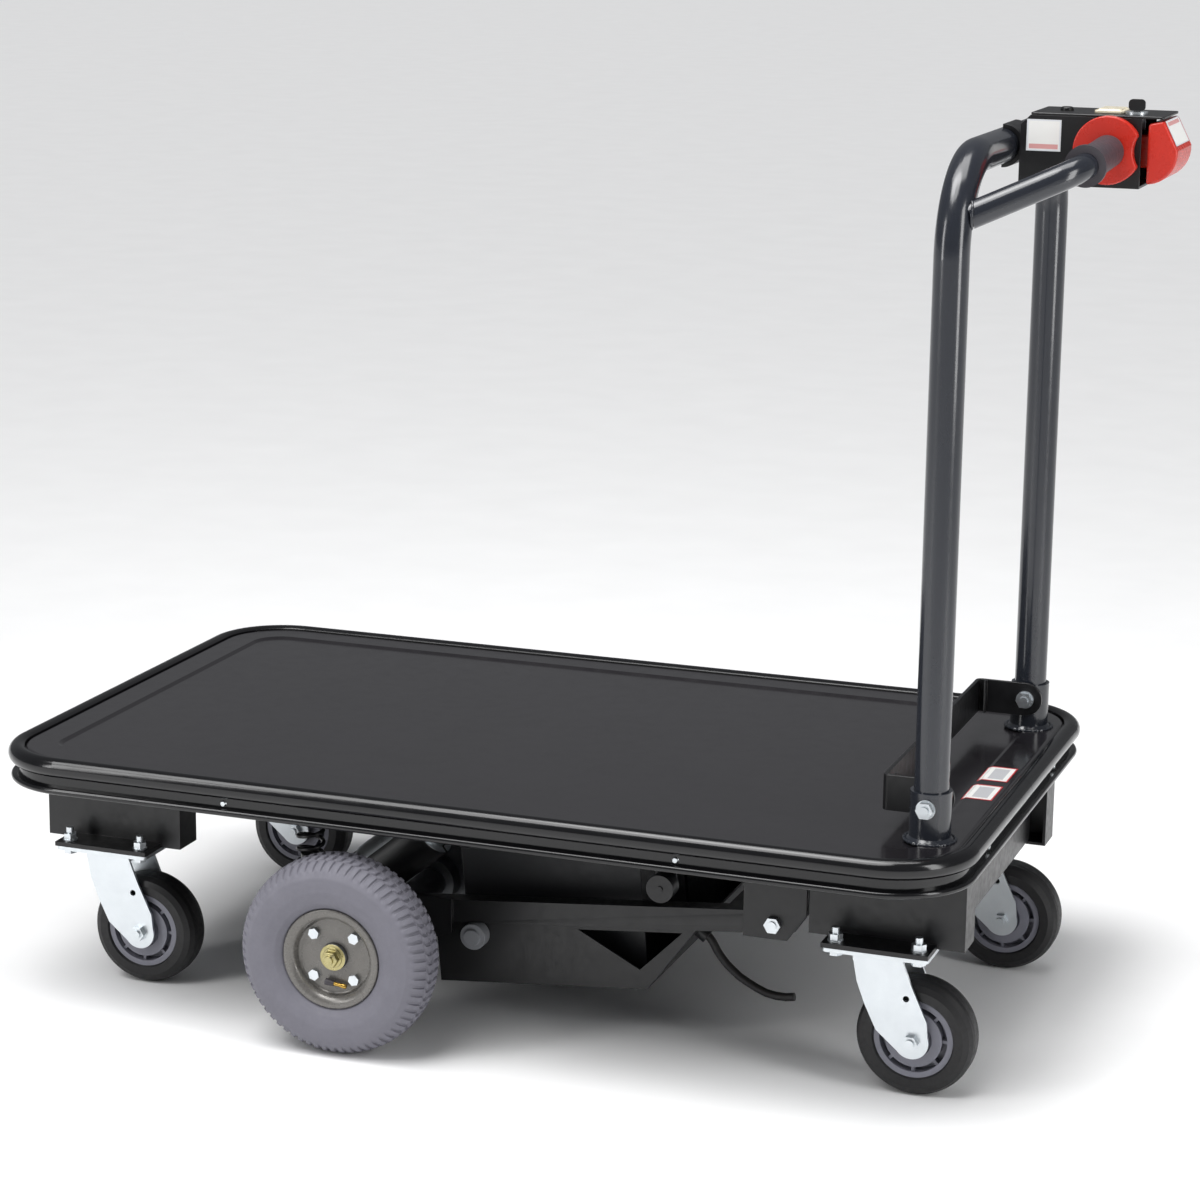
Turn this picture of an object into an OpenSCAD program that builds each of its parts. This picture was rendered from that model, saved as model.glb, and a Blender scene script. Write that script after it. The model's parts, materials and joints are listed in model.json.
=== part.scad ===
// Powered flatbed platform truck: a pressed steel deck on four swivel casters, with a sprung
// two-wheel drive unit underneath and a bolted push handle that carries the control head.
// +X points to the handle end and +Z up. The origin is on the floor, under the middle of the
// truck's overall box. The operator stands at +X and faces -X, so "left" is -Y and "front" is -X.

/* [Deck] */
// Length of the deck pan
deck_l = 1268; // [1150:1:1600]
// Width of the deck pan
deck_w = 756; // [700:1:950]
// Corner radius of the deck pan in plan
deck_r = 88; // [72:1:110]
// Height of the deck pan from its skirt's lower edge to its border
pan_h = 44; // [40:1:56]
// Thickness of the deck sheet
sheet_t = 2.5; // [2:0.5:4]
// Width of the raised border round the deck
border_w = 44; // [30:1:56]
// Depth of the pressed centre panel below the border
recess = 3; // [1:0.5:5]
// Thickness of the bumper, outward from the deck
bumper_t = 22; // [18:1:30]

/* [Frame under the deck] */
// Distance between the middles of the two long frame rails
rail_span = 430; // [380:2:470]
// Width of a frame rail
frame_w = 40; // [30:1:50]
// Height of the caster risers
riser_h = 103; // [90:1:130]
// Length of a caster riser
riser_l = 198; // [170:1:220]
// Width of a caster riser
riser_w = 48; // [40:1:50]
// Thickness of the riser's folded plate
riser_t = 4; // [3:0.5:6]
// Thickness of the seat plate that each caster bolts to
seat_t = 6; // [5:1:10]

/* [Casters] */
// Radius of a caster wheel
caster_r = 75; // [60:1:90]
// Width of a caster wheel
caster_w = 50; // [40:1:56]
// Height of the caster's top plate above the axle
fork_rise = 115; // [110:1:140]
// Trail of the axle behind the swivel axis
trail = 45; // [35:1:55]
// Length of the top plate
plate_l = 135; // [130:1:150]
// Width of the top plate
plate_w = 110; // [104:1:120]
// Thickness of the top plate
plate_t = 5; // [4:0.5:8]
// Bolt spacing along the top plate
bolt_dx = 105; // [100:1:112]
// Bolt spacing across the top plate
bolt_dy = 80; // [76:1:86]
// Distance of the swivel axis in from the deck's end
caster_inset_x = 102; // [96:1:130]
// Distance of the swivel axis in from the deck's side
caster_inset_y = 132; // [125:1:150]

/* [Drive unit] */
// Radius of a drive tyre
drive_r = 130; // [120:1:140]
// Width of a drive tyre
drive_w = 84; // [70:1:90]
// Distance between the middles of the two drive tyres
drive_track = 774; // [760:1:860]
// Length of the swinging arm, from its pivot to the drive axle
arm_l = 527; // [500:1:600]
// Distance of the arm's pivot from the rear swivel axis
pivot_gap = 147; // [140:1:170]
// Drop of the arm's pivot below the frame
pivot_drop = 105; // [95:1:110]
// Height of the arm's rectangular tube
arm_h = 30; // [25:1:40]
// Width of the arm's rectangular tube
arm_w = 25; // [20:1:30]
// Wall of the arm's tube
rail_wall = 2.5; // [2:0.5:4]
// Depth of the battery tray below the arm
tray_depth = 85; // [70:1:95]
// Diameter of the half shafts
half_shaft_d = 20; // [16:1:25]
// Diameter of the coil springs
spring_d = 40; // [34:1:44]
// Wire of the coil springs
spring_wire = 6; // [4:0.5:7]

/* [Handle] */
// Distance of the handle in from the deck's end
handle_inset_x = 44; // [40:1:60]
// Distance of each upright in from the deck's side
handle_inset_y = 103; // [90:1:130]
// Height of the crossbar's middle above the floor
handle_h = 1151; // [1000:1:1300]
// Outer diameter of the handle tube
tube_d = 42.4; // [38:0.1:48]
// Wall of the handle tube
tube_wall = 2.6; // [2:0.1:4]
// Bend radius of the handle tube
bend_r = 110; // [80:1:140]
// Height of the sockets above the deck
socket_h = 65; // [55:1:90]
// Wall of the sockets
socket_wall = 4; // [3:0.5:6]
// Clearance between tube and socket
socket_gap = 0.3; // [0.1:0.1:0.8]
// Width of the load stop's flat bar
stop_w = 45; // [35:1:55]
// Thickness of the load stop's flat bar
stop_t = 5; // [4:1:8]
// Reach of the load stop in front of the uprights
stop_reach = 68; // [55:1:90]
// Outer diameter of the grip arms
grip_arm_d = 32; // [28:1:34]
// Outer diameter of the rubber grips
grip_d = 40; // [38:1:44]
// Length of a rubber grip
grip_l = 115; // [100:1:125]

/* [Control head] */
// Length of the housing
head_l = 147; // [130:1:170]
// Width of the housing
head_w = 100; // [90:1:120]
// Height of the housing
head_h = 84; // [78:1:100]
// Wall of the housing
head_wall = 3; // [2:0.5:4]
// Radius of the throttle levers
lever_r = 41; // [36:1:46]
// Thickness of a throttle lever
lever_t = 14; // [10:1:16]
// Diameter of the throttle shaft
throttle_shaft_d = 12; // [10:1:14]
// Travel of the belly switch
belly_travel = 6; // [3:1:7]

/* [Hidden] */
$fn = 48;

steel_black = "#2b2d31";
paint_grey = "#3a3f49";
zinc = "#c9d0d6";
signal_red = "#d3321f";
rubber = "#1c1b1c";

run_gap = 0.05;
bolt_gap = 0.2;
tiny = 0.01;

// Heights, from the floor up
caster_h = caster_r + fork_rise;
frame_z = caster_h + riser_h;
deck_z = frame_z + pan_h;
panel_z = deck_z - recess;
pivot_z = frame_z - pivot_drop;

// Places along X and Y, from the deck's centre
caster_x = deck_l / 2 - caster_inset_x;
caster_y = deck_w / 2 - caster_inset_y;
handle_x = deck_l / 2 - handle_inset_x;
handle_y = deck_w / 2 - handle_inset_y;
pivot_x = caster_x - pivot_gap;
drive_x = pivot_x - arm_l;
drive_y = drive_track / 2;
rail_y = rail_span / 2;
riser_in_y = caster_y - 40;
riser_out_x = deck_l / 2;

// Bumper and its screws
bumper_h = pan_h + 4;
bumper_gap = 0.2;
screw_z = 15;
screw_d = 5;
screw_head_d = 9;
screw_pitch_x = 608;
screw_pitch_y = 380;
seam = 0.8;

// Caster inner sizes
race_r = 38;
race_h = 7;
crown_r = 46;
crown_t = 6;
king_d = 14;
race_gap = 0.4;
leg_t = 4;
leg_y = caster_w / 2 + 4.5;
leg_foot_r = 22;
axle_d = 12;
sleeve_d = 20;
core_r = 50;
plate_bolt_d = 10;
crown_z = caster_h - plate_t - race_h - race_gap;
king_head_h = 5;

// Swinging arm: its angle is set by the axle height and the pivot height
arm_over_axle = 8;
arm_tilt = asin((pivot_z - drive_r - arm_over_axle) / arm_l);
bush_d = 22;
pivot_d = 12;
bush_gap = 0.3;
cheek_t = 5;
axle_plate_t = 6;
weld = 0.5;
axle_tube_d = 40;
beam_s = 30;
spring_x = drive_x - 120;
spring_y = rail_y;
spring_cap_t = 6;
spring_seat_z = drive_r + 48;
spring_turns = 6;
tray_t = 3;
tray_front = -470;
tray_back = -182;
tray_slope = 75;
battery_l = 250;
battery_w = 168;
battery_h = 167;
hose_d = 11;
cable_d = 9;

// Drive wheel inner sizes
bead_r = 50;
rim_flange_r = 66;
rim_half = 31;
rim_t = 3;
rim_disc_out = 16;
hub_boss_d = 35;
rim_pcd = 78;
rim_bolt_d = 8;
rim_bolts_n = 4;
hub_flange_r = 50;
hub_flange_t = 8;

// Handle and head places
socket_id = tube_d + 2 * socket_gap;
socket_d = socket_id + 2 * socket_wall;
socket_low = frame_z + 8;
socket_top = deck_z + socket_h - 3;
socket_floor = 4;
socket_bolt_z = socket_top - 18;
socket_bolt_d = 12;
saddle_t = 5.2;
saddle_gap = 0.1;
saddle_sink = 1.6;
head_x = handle_x + tube_d / 2 + saddle_gap + saddle_t - saddle_sink;
head_end = head_x + head_l;
head_z = handle_h + 40;
head_base = head_z - head_h;
cover_t = 3;
cover_z = head_z;
throttle_x = head_x + 109;
throttle_z = handle_h + 2;
lever_gap = 3;
lever_y = head_w / 2 + lever_gap;
grip_tip = [throttle_x + 2, lever_y + lever_t + 9, throttle_z - 1];
grip_corner = [throttle_x - 2, lever_y + lever_t + 148, throttle_z - 10];
arm_up = 22;
arm_sink = 3;
arm_root = [handle_x, handle_y - bend_r * (1 - cos(arm_up)), handle_h - bend_r * (1 - sin(arm_up))];
arm_bend_r = 50;
arm_wall = 2;
grip_cap = 5;
belly_gap = 2;
belly_x = head_end + belly_travel + belly_gap;
belly_l = 36;
belly_end = belly_x + belly_l;
stem_l = 30;
stem_w = 60;
stem_h = 40;
key_x = head_end - 12;
key_y = -22;
key_body_h = 18;
plug_d = 8;
gauge_x = head_x + 102;
horn_x = head_x + 46;
horn_d = 16;

// The overall box along X sets the origin
x_low = -deck_l / 2 - bumper_t;
x_high = belly_end;
origin_x = -(x_low + x_high) / 2;

// Route of the tail hose, from its gland on the tray's sloping end
hose_route = [[272, -150, 131], [275, -150, 128], [279, -150, 123], [282, -150, 118],
  [286, -150, 111], [292, -150, 103], [299, -150, 95], [307, -150, 88], [317, -150, 80],
  [328, -150, 74], [340, -150, 68], [353, -150, 63], [366, -150, 61], [379, -150, 61],
  [391, -150, 63]];

// ---------- helpers ----------

// Moves a part from the deck-centred layout to the truck's own origin
module place() {
  translate([origin_x, 0, 0]) children();
}

function unit(v) = v / norm(v);

// A straight round bar from p to q
module bar(p, q, d) {
  v = q - p;
  translate(p) rotate([0, acos(v[2] / norm(v)), atan2(v[1], v[0])]) cylinder(h = norm(v), d = d);
}

// A round bar from a to b with one bend of radius r at corner c, made longer by extra at both ends
module bent_bar(a, c, b, r, d, extra = 0) {
  ex = unit(a - c);
  ez = unit(cross(ex, b - c));
  ey = cross(ez, ex);
  turn = acos(ex * unit(b - c));
  start = r / tan(turn / 2);
  multmatrix([[ex[0], ey[0], ez[0], c[0]], [ex[1], ey[1], ez[1], c[1]], [ex[2], ey[2], ez[2], c[2]]]) {
    translate([start, 0, 0]) rotate([0, 90, 0]) cylinder(h = norm(a - c) + extra - start, d = d);
    rotate([0, 0, turn]) translate([start, 0, 0]) rotate([0, 90, 0])
      cylinder(h = norm(b - c) + extra - start, d = d);
    translate([start, r, 0]) rotate([0, 0, turn + 90]) rotate_extrude(angle = 180 - turn)
      translate([r, 0]) circle(d = d);
  }
}

// A bar of any round section along Y, centred on y
module y_bar(x, y, z, l, d) {
  translate([x, y + l / 2, z]) rotate([90, 0, 0]) cylinder(h = l, d = d);
}

// A hexagon bolt or nut along Y: across flats af, from y to y + h
module y_hex(x, y, z, h, af) {
  translate([x, y + h, z]) rotate([90, 0, 0]) cylinder(h = h, d = af / cos(30), $fn = 6);
}

// A plate in the XZ plane, centred on y with thickness t
module xz_plate(y, t) {
  translate([0, y + t / 2, 0]) rotate([90, 0, 0]) linear_extrude(t) children();
}

module rounded_rect(l, w, r) {
  for (s = [0, 1]) square([l - 2 * r * s, w - 2 * r * (1 - s)], center = true);
  for (x = [-1, 1], y = [-1, 1]) translate([x * (l / 2 - r), y * (w / 2 - r)]) circle(r);
}

// Sweeps a profile (x outward from the rim line, y up) round a rounded rectangle
module rim_sweep(l, w, r) {
  for (i = [0:3]) {
    along = i % 2 == 0 ? w : l;
    across = i % 2 == 0 ? l : w;
    rotate([0, 0, 90 * i]) {
      translate([across / 2, 0, 0]) rotate([90, 0, 0])
        linear_extrude(along - 2 * r, center = true) children();
      translate([across / 2 - r, along / 2 - r, 0])
        rotate_extrude(angle = 90, $fn = 96) translate([r, 0]) children();
    }
  }
}

// A tube swept along points: sides corners round each ring
function ring_dir(p, i) = unit(p[min(i + 1, len(p) - 1)] - p[max(i - 1, 0)]);
function ring_points(p, i, r, sides) =
  let (t = ring_dir(p, i), side = unit(cross(t, abs(t[1]) < 0.9 ? [0, 1, 0] : [1, 0, 0])),
    up = cross(side, t))
  [for (k = [0:sides - 1]) p[i] + r * (cos(360 * k / sides) * side + sin(360 * k / sides) * up)];
module swept_tube(p, d, sides) {
  n = len(p);
  points = [for (i = [0:n - 1]) each ring_points(p, i, d / 2, sides)];
  walls = [for (i = [0:n - 2], k = [0:sides - 1])
    [i * sides + k, i * sides + (k + 1) % sides, (i + 1) * sides + (k + 1) % sides, (i + 1) * sides + k]];
  first = [for (k = [sides - 1:-1:0]) k];
  last = [for (k = [0:sides - 1]) (n - 1) * sides + k];
  polyhedron(points, concat(walls, [first, last]), convexity = 6);
}

// ---------- deck ----------

pan_round = 6;
panel_step = 6;

module pan_profile() {
  inner_x = -border_w - panel_step;
  polygon(concat(
    [[0, 0]],
    [for (a = [0:15:90]) [pan_round * (cos(a) - 1), pan_h + pan_round * (sin(a) - 1)]],
    [[-border_w, pan_h], [inner_x, pan_h - recess], [inner_x, pan_h - recess - sheet_t],
      [-border_w, pan_h - sheet_t]],
    [for (a = [90:-15:0]) [-pan_round + (pan_round - sheet_t) * cos(a),
      pan_h - pan_round + (pan_round - sheet_t) * sin(a)]],
    [[-sheet_t, 0]]));
}

module screw_places() {
  for (x = [-1, 1], a = [-90, 90])
    translate([x * screw_pitch_x / 2, 0, frame_z + screw_z]) rotate([0, 0, a])
      translate([deck_w / 2, 0, 0]) rotate([0, 90, 0]) children();
  for (y = [-1, 1], a = [0, 180])
    translate([0, y * screw_pitch_y / 2, frame_z + screw_z]) rotate([0, 0, a])
      translate([deck_l / 2, 0, 0]) rotate([0, 90, 0]) children();
}

module deck_pan() {
  inset = border_w + panel_step;
  color(paint_grey) place() difference() {
    union() {
      translate([0, 0, frame_z]) rim_sweep(deck_l, deck_w, deck_r) pan_profile();
      translate([0, 0, panel_z - sheet_t]) linear_extrude(sheet_t)
        rounded_rect(deck_l - 2 * inset, deck_w - 2 * inset, deck_r - inset);
    }
    screw_places() translate([0, 0, -10]) cylinder(h = 20, d = screw_d + bolt_gap);
    for (s = [-1, 1]) translate([handle_x, s * handle_y, frame_z])
      cylinder(h = pan_h + 10, d = socket_d + 0.1);
  }
}

nose_r = 13;
nose_z = bumper_h - nose_r;
lip_h = 9;
lip_r = 4.5;
lip_x = bumper_t - 3;
groove_x = 9;

module bumper_profile() {
  difference() {
    union() {
      translate([bumper_t - nose_r, nose_z]) circle(nose_r);
      translate([bumper_gap, 0]) square([groove_x, nose_z]);
      square([lip_x - lip_r, lip_h]);
      translate([lip_x - lip_r, lip_r]) circle(lip_r);
    }
    translate([-30, -5]) square([30 + bumper_gap, bumper_h + 10]);
  }
}

module bumper() {
  color(steel_black) place() difference() {
    translate([0, 0, frame_z + 0.4]) rim_sweep(deck_l, deck_w, deck_r) bumper_profile();
    screw_places() translate([0, 0, -1]) cylinder(h = 20, d = screw_d + bolt_gap);
    translate([deck_l / 2 - 5, -seam / 2, frame_z - 1]) cube([40, seam, pan_h + 10]);
  }
}

module bumper_screws() {
  head_x = groove_x + bumper_gap;
  color(zinc) place() screw_places() {
    translate([0, 0, -8]) cylinder(h = head_x + 8, d = screw_d);
    translate([0, 0, head_x]) cylinder(h = 2.5, d1 = screw_head_d, d2 = screw_head_d - 3);
  }
}

// ---------- frame ----------

// A channel along X, open downwards when flip is false
module channel_x(l, w, h, t) {
  difference() {
    cube([l, w, h], center = true);
    translate([0, 0, -t]) cube([l + 2, w - 2 * t, h], center = true);
  }
}

frame_t = 3;
frame_h = pan_h - recess - sheet_t;
frame_end = 30;
cross_n = 5;

module deck_frame() {
  span = deck_l - 2 * frame_end;
  mid_z = frame_z + frame_h / 2;
  inner_w = rail_span - frame_w;
  outer_w = deck_w / 2 - rail_y - frame_w / 2 - sheet_t - 2;
  pitch = (span - frame_w) / (cross_n - 1);
  color(steel_black) place() {
    for (s = [-1, 1]) translate([0, s * rail_y, mid_z]) channel_x(span, frame_w, frame_h, frame_t);
    for (i = [0:cross_n - 1]) {
      x = -span / 2 + frame_w / 2 + i * pitch;
      translate([x, 0, mid_z]) rotate([0, 0, 90]) channel_x(inner_w, frame_w, frame_h, frame_t);
      if (i > 0 && i < cross_n - 1) for (s = [-1, 1])
        translate([x, s * (rail_y + frame_w / 2 + outer_w / 2), mid_z]) rotate([0, 0, 90])
          channel_x(outer_w, frame_w, frame_h, frame_t);
    }
  }
}

beam_flange = 16;
beam_set_in = 21;

module end_beams() {
  face = riser_out_x - beam_set_in;
  height = riser_h - seat_t - 2;
  width = 2 * riser_in_y - 4;
  color(steel_black) place() for (s = [-1, 1]) scale([s, 1, 1])
    translate([face - beam_flange, -width / 2, frame_z - height]) difference() {
      cube([beam_flange, width, height]);
      translate([-1, -1, riser_t]) cube([beam_flange - riser_t + 1, width + 2, height - 2 * riser_t]);
    }
}

module caster_places() {
  for (x = [-1, 1], y = [-1, 1]) translate([x * caster_x, y * caster_y, 0]) children();
}

module plate_bolt_places() {
  for (x = [-1, 1], y = [-1, 1]) translate([x * bolt_dx / 2, y * bolt_dy / 2, 0]) children();
}

module caster_risers() {
  color(steel_black) place() difference() {
    for (x = [-1, 1], y = [-1, 1]) scale([x, y, 1]) {
      translate([riser_out_x - riser_l, riser_in_y, caster_h]) difference() {
        cube([riser_l, riser_w, riser_h]);
        translate([riser_t, -riser_t, riser_t])
          cube([riser_l - 2 * riser_t, riser_w, riser_h - 2 * riser_t]);
      }
      translate([caster_x - plate_l / 2, caster_y - plate_w / 2, caster_h])
        cube([plate_l, plate_w, seat_t]);
    }
    caster_places() plate_bolt_places() translate([0, 0, caster_h - 1])
      cylinder(h = seat_t + 2, d = plate_bolt_d + 1);
  }
}

// ---------- casters ----------

module caster_plates() {
  color(zinc) place() caster_places() {
    difference() {
      translate([0, 0, caster_h - plate_t]) linear_extrude(plate_t) rounded_rect(plate_l, plate_w, 8);
      plate_bolt_places() translate([0, 0, caster_h - plate_t - 1])
        cylinder(h = plate_t + 2, d = plate_bolt_d + 1);
    }
    translate([0, 0, caster_h - plate_t - race_h]) cylinder(h = race_h, r1 = race_r - 3, r2 = race_r);
    translate([0, 0, crown_z - crown_t - race_gap - king_head_h])
      cylinder(h = caster_h - crown_z + crown_t + race_gap + king_head_h - 1, d = king_d);
    translate([0, 0, crown_z - crown_t - race_gap - king_head_h]) cylinder(h = king_head_h, d = king_d + 10);
  }
}

washer_t = 2;
nut_h = 8;
head_h10 = 6.4;
hex10 = 16;

module caster_bolts() {
  low = caster_h - plate_t;
  top = caster_h + seat_t;
  color(zinc) place() caster_places() plate_bolt_places() {
    translate([0, 0, low - head_h10]) cylinder(h = head_h10, d = hex10 / cos(30), $fn = 6);
    translate([0, 0, low - tiny]) cylinder(h = top - low + washer_t + nut_h + 8, d = plate_bolt_d);
    translate([0, 0, top]) cylinder(h = washer_t, d = 20);
    translate([0, 0, top + washer_t]) cylinder(h = nut_h, d = hex10 / cos(30), $fn = 6);
  }
}

// Outline of a fork leg, from the axle's centre
module leg_outline() {
  top = crown_z - caster_r;
  difference() {
    union() {
      circle(leg_foot_r);
      polygon([[-trail - 32, top], [-71, 70], [-60, 41], [-45, 10], [-18, -13], [21, 4], [19, 27],
        [-1, 70], [-trail + 31, top]]);
    }
    circle(d = axle_d + bolt_gap);
    translate([-8, 55]) circle(d = 8);
  }
}

module fork() {
  difference() {
    union() {
      intersection() {
        translate([0, 0, crown_z - crown_t]) cylinder(h = crown_t, r = crown_r);
        translate([-32, -leg_y - leg_t, 0]) cube([63, 2 * (leg_y + leg_t), caster_h]);
      }
      for (s = [-1, 1]) translate([trail, 0, caster_r]) xz_plate(s * (leg_y + leg_t / 2), leg_t)
        leg_outline();
    }
    cylinder(h = caster_h, d = king_d + 2 * run_gap);
  }
}

hex12 = 18;

module caster_axle() {
  reach = leg_y + leg_t;
  translate([trail, 0, caster_r]) {
    y_bar(0, 0, 0, 2 * reach + 22, axle_d);
    y_bar(0, 0, 0, 2 * leg_y - 0.4, sleeve_d);
    y_hex(0, -reach - 8, 0, 8, hex12);
    y_hex(0, reach, 0, 9, hex12);
  }
}

core_w = 44;
core_ring_r = 43;
core_hub_r = 36;
core_web = 14;
rib_n = 8;
rib_t = 4;

module wheel_core() {
  translate([trail, 0, caster_r]) rotate([90, 0, 0]) {
    rotate_extrude() difference() {
      union() {
        translate([0, -core_w / 2]) square([core_hub_r, core_w]);
        translate([core_ring_r, -core_w / 2]) square([core_r - core_ring_r, core_w]);
        translate([0, -core_web / 2]) square([core_r - 1, core_web]);
      }
      translate([-1, -core_w]) square([sleeve_d / 2 + run_gap + 1, 2 * core_w]);
      for (s = [-1, 1]) translate([17, s * (core_w / 2 + 3)]) circle(7);
    }
    for (i = [0:rib_n - 1]) rotate([0, 0, 360 * i / rib_n])
      translate([core_hub_r - 1, -rib_t / 2, -core_w / 2 + 4])
        cube([core_ring_r - core_hub_r + 2, rib_t, core_w - 8]);
  }
}

module tread() {
  half = caster_w / 2;
  translate([trail, 0, caster_r]) rotate([90, 0, 0]) rotate_extrude($fn = 96)
    polygon([[core_r, -half + 3], [core_r + 2, -half], [caster_r - 12, -half], [caster_r - 5, -half + 4],
      [caster_r - 1, -half + 11], [caster_r, -half + 17], [caster_r, half - 17], [caster_r - 1, half - 11],
      [caster_r - 5, half - 4], [caster_r - 12, half], [core_r + 2, half], [core_r, half - 3]]);
}

module at_caster(x, y) {
  place() translate([x * caster_x, y * caster_y, 0]) children();
}

// ---------- handle ----------

// The bend at the right-hand top corner of the handle
module handle_bend(d) {
  translate([handle_x, handle_y - bend_r, handle_h - bend_r]) rotate([90, 0, 90])
    rotate_extrude(angle = 90) translate([bend_r, 0]) circle(d = d);
}

module handle_path(d, low) {
  for (s = [-1, 1]) {
    translate([handle_x, s * handle_y, low]) cylinder(h = handle_h - bend_r - low, d = d);
    scale([1, s, 1]) handle_bend(d);
  }
  y_bar(handle_x, 0, handle_h, 2 * (handle_y - bend_r), d);
}

module handle_frame() {
  low = socket_low + socket_floor + 1;
  color(paint_grey) place() difference() {
    handle_path(tube_d, low);
    handle_path(tube_d - 2 * tube_wall, low - tiny);
    y_bar(handle_x, 0, socket_bolt_z, 2 * handle_y + 100, socket_bolt_d + bolt_gap);
  }
}

// The sockets pass through the deck sheet and carry a weld ring on its border
module handle_sockets() {
  ring = 5;
  color(paint_grey) place() for (s = [-1, 1]) difference() {
    union() {
      translate([handle_x, s * handle_y, socket_low]) cylinder(h = socket_top - socket_low, d = socket_d);
      translate([handle_x, s * handle_y, deck_z])
        cylinder(h = ring, d1 = socket_d + 2 * ring, d2 = socket_d);
    }
    translate([handle_x, s * handle_y, socket_low + socket_floor]) cylinder(h = 200, d = socket_id);
    y_bar(handle_x, s * handle_y, socket_bolt_z, 100, socket_bolt_d + bolt_gap);
  }
}

module socket_bolts() {
  color(zinc) place() for (s = [-1, 1]) {
    inner = s < 0 ? 0 : stop_t;
    outer = s < 0 ? stop_t : 0;
    low = s * handle_y - socket_d / 2 - inner;
    high = s * handle_y + socket_d / 2 + outer;
    y_bar(handle_x, (low + high) / 2, socket_bolt_z, high - low + 26, socket_bolt_d);
    y_hex(handle_x, low - 2 - 8, socket_bolt_z, 8, 19);
    y_bar(handle_x, low - 1, socket_bolt_z, 2, 24);
    y_hex(handle_x, high, socket_bolt_z, 10, 19);
  }
}

module load_stop() {
  inner_y = handle_y - socket_d / 2;
  bar_x = handle_x - stop_reach;
  low = socket_bolt_z - stop_w / 2;
  corner = 8;
  color(steel_black) place() difference() {
    union() {
      for (s = [-1, 1]) xz_plate(s * (inner_y - stop_t / 2), stop_t) {
        translate([handle_x, socket_bolt_z]) circle(d = stop_w);
        translate([bar_x + corner, low]) square([stop_reach - corner, stop_w]);
      }
      translate([0, 0, low]) linear_extrude(stop_w) difference() {
        union() {
          translate([bar_x, -inner_y + corner]) square([stop_t, 2 * (inner_y - corner)]);
          for (s = [-1, 1]) translate([bar_x + corner, s * (inner_y - corner)]) circle(corner);
        }
        for (s = [-1, 1]) translate([bar_x + corner, s * (inner_y - corner)]) circle(corner - stop_t);
        translate([bar_x + stop_t, -inner_y + stop_t]) square([corner, 2 * (inner_y - stop_t)]);
      }
    }
    y_bar(handle_x, 0, socket_bolt_z, 2 * handle_y + 100, socket_bolt_d + bolt_gap);
  }
}

// Mirrors a left-hand piece to the right
module both_sides() {
  for (s = [-1, 1]) scale([1, s, 1]) children();
}

module grip_arms() {
  weld_end = arm_root + unit(grip_corner - arm_root) * (tube_d / 2 - arm_sink);
  color(paint_grey) place() both_sides() difference() {
    bent_bar(weld_end, grip_corner, grip_tip, arm_bend_r, grip_arm_d);
    bent_bar(weld_end, grip_corner, grip_tip, arm_bend_r, grip_arm_d - 2 * arm_wall, extra = 1);
  }
}

module grips() {
  along = unit(grip_corner - grip_tip);
  outer = grip_tip - along * grip_cap;
  color(rubber) place() both_sides() difference() {
    union() {
      bar(outer, outer + along * grip_l, grip_d);
      bar(outer + along * (grip_l - 6), outer + along * grip_l, grip_d + 10);
    }
    bar(grip_tip - along * tiny, outer + along * (grip_l + 1), grip_arm_d + 0.1);
  }
}

// ---------- control head ----------

chamfer = 12;

module head_profile(inset) {
  polygon([[head_x + inset, head_base + inset], [head_end, head_base + inset],
    [head_end, head_z], [head_x + chamfer, head_z], [head_x + inset, head_z - chamfer + inset / 2]]);
}

module head_housing() {
  color(steel_black) place() difference() {
    union() {
      xz_plate(0, head_w) head_profile(0);
      y_bar(handle_x, 0, handle_h, head_w * 0.7, tube_d + 2 * (saddle_gap + saddle_t));
    }
    xz_plate(0, head_w - 2 * head_wall) polygon([[head_x + head_wall, head_base + head_wall],
      [head_end + 1, head_base + head_wall], [head_end + 1, head_z + 1], [head_x + chamfer, head_z + 1],
      [head_x + head_wall, head_z - chamfer]]);
    y_bar(handle_x, 0, handle_h, head_w + 2, tube_d + 2 * saddle_gap);
    translate([handle_x - 60, -head_w, handle_h - 50]) cube([60, 2 * head_w, 100]);
    y_bar(throttle_x, 0, throttle_z, head_w + 10, throttle_shaft_d + 2 * run_gap);
  }
}

module head_cover() {
  cover_l = head_end + 26 - head_x - chamfer;
  color(steel_black) place() difference() {
    translate([head_x + chamfer + cover_l / 2, 0, cover_z]) linear_extrude(cover_t)
      rounded_rect(cover_l, head_w, 4);
    translate([key_x, key_y, cover_z - 1]) cylinder(h = cover_t + 2, d = 22 + bolt_gap);
    translate([horn_x, 0, cover_z - 1]) cylinder(h = cover_t + 2, d = horn_d + 0.2);
  }
}

module key_switch() {
  top = cover_z + cover_t;
  color("silver") place() translate([key_x, key_y, 0]) difference() {
    union() {
      translate([0, 0, top]) cylinder(h = 3, d = 27);
      translate([0, 0, top - key_body_h]) cylinder(h = key_body_h, d = 22);
    }
    translate([0, 0, top - key_body_h + 3]) cylinder(h = 30, d = plug_d + 2 * run_gap);
  }
}

module key() {
  top = cover_z + cover_t;
  color("#222224") place() translate([key_x, key_y, 0]) {
    translate([0, 0, top - key_body_h + 3.5]) cylinder(h = key_body_h + 1, d = plug_d);
    translate([0, 0, top + 11]) xz_plate(0, 4) rounded_rect(20, 14, 5);
  }
}

module battery_gauge() {
  color("#ded6c4") place() translate([gauge_x, 0, cover_z + cover_t]) {
    linear_extrude(3.5) rounded_rect(36, 52, 5);
    linear_extrude(5) rounded_rect(28, 44, 3);
  }
}

module horn_button() {
  color("#8c8f94") place() translate([horn_x, 0, cover_z - 4]) {
    cylinder(h = cover_t + 7, d = horn_d);
    translate([0, 0, cover_t + 7]) cylinder(h = 1.5, d1 = horn_d, d2 = horn_d - 4);
  }
}

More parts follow.
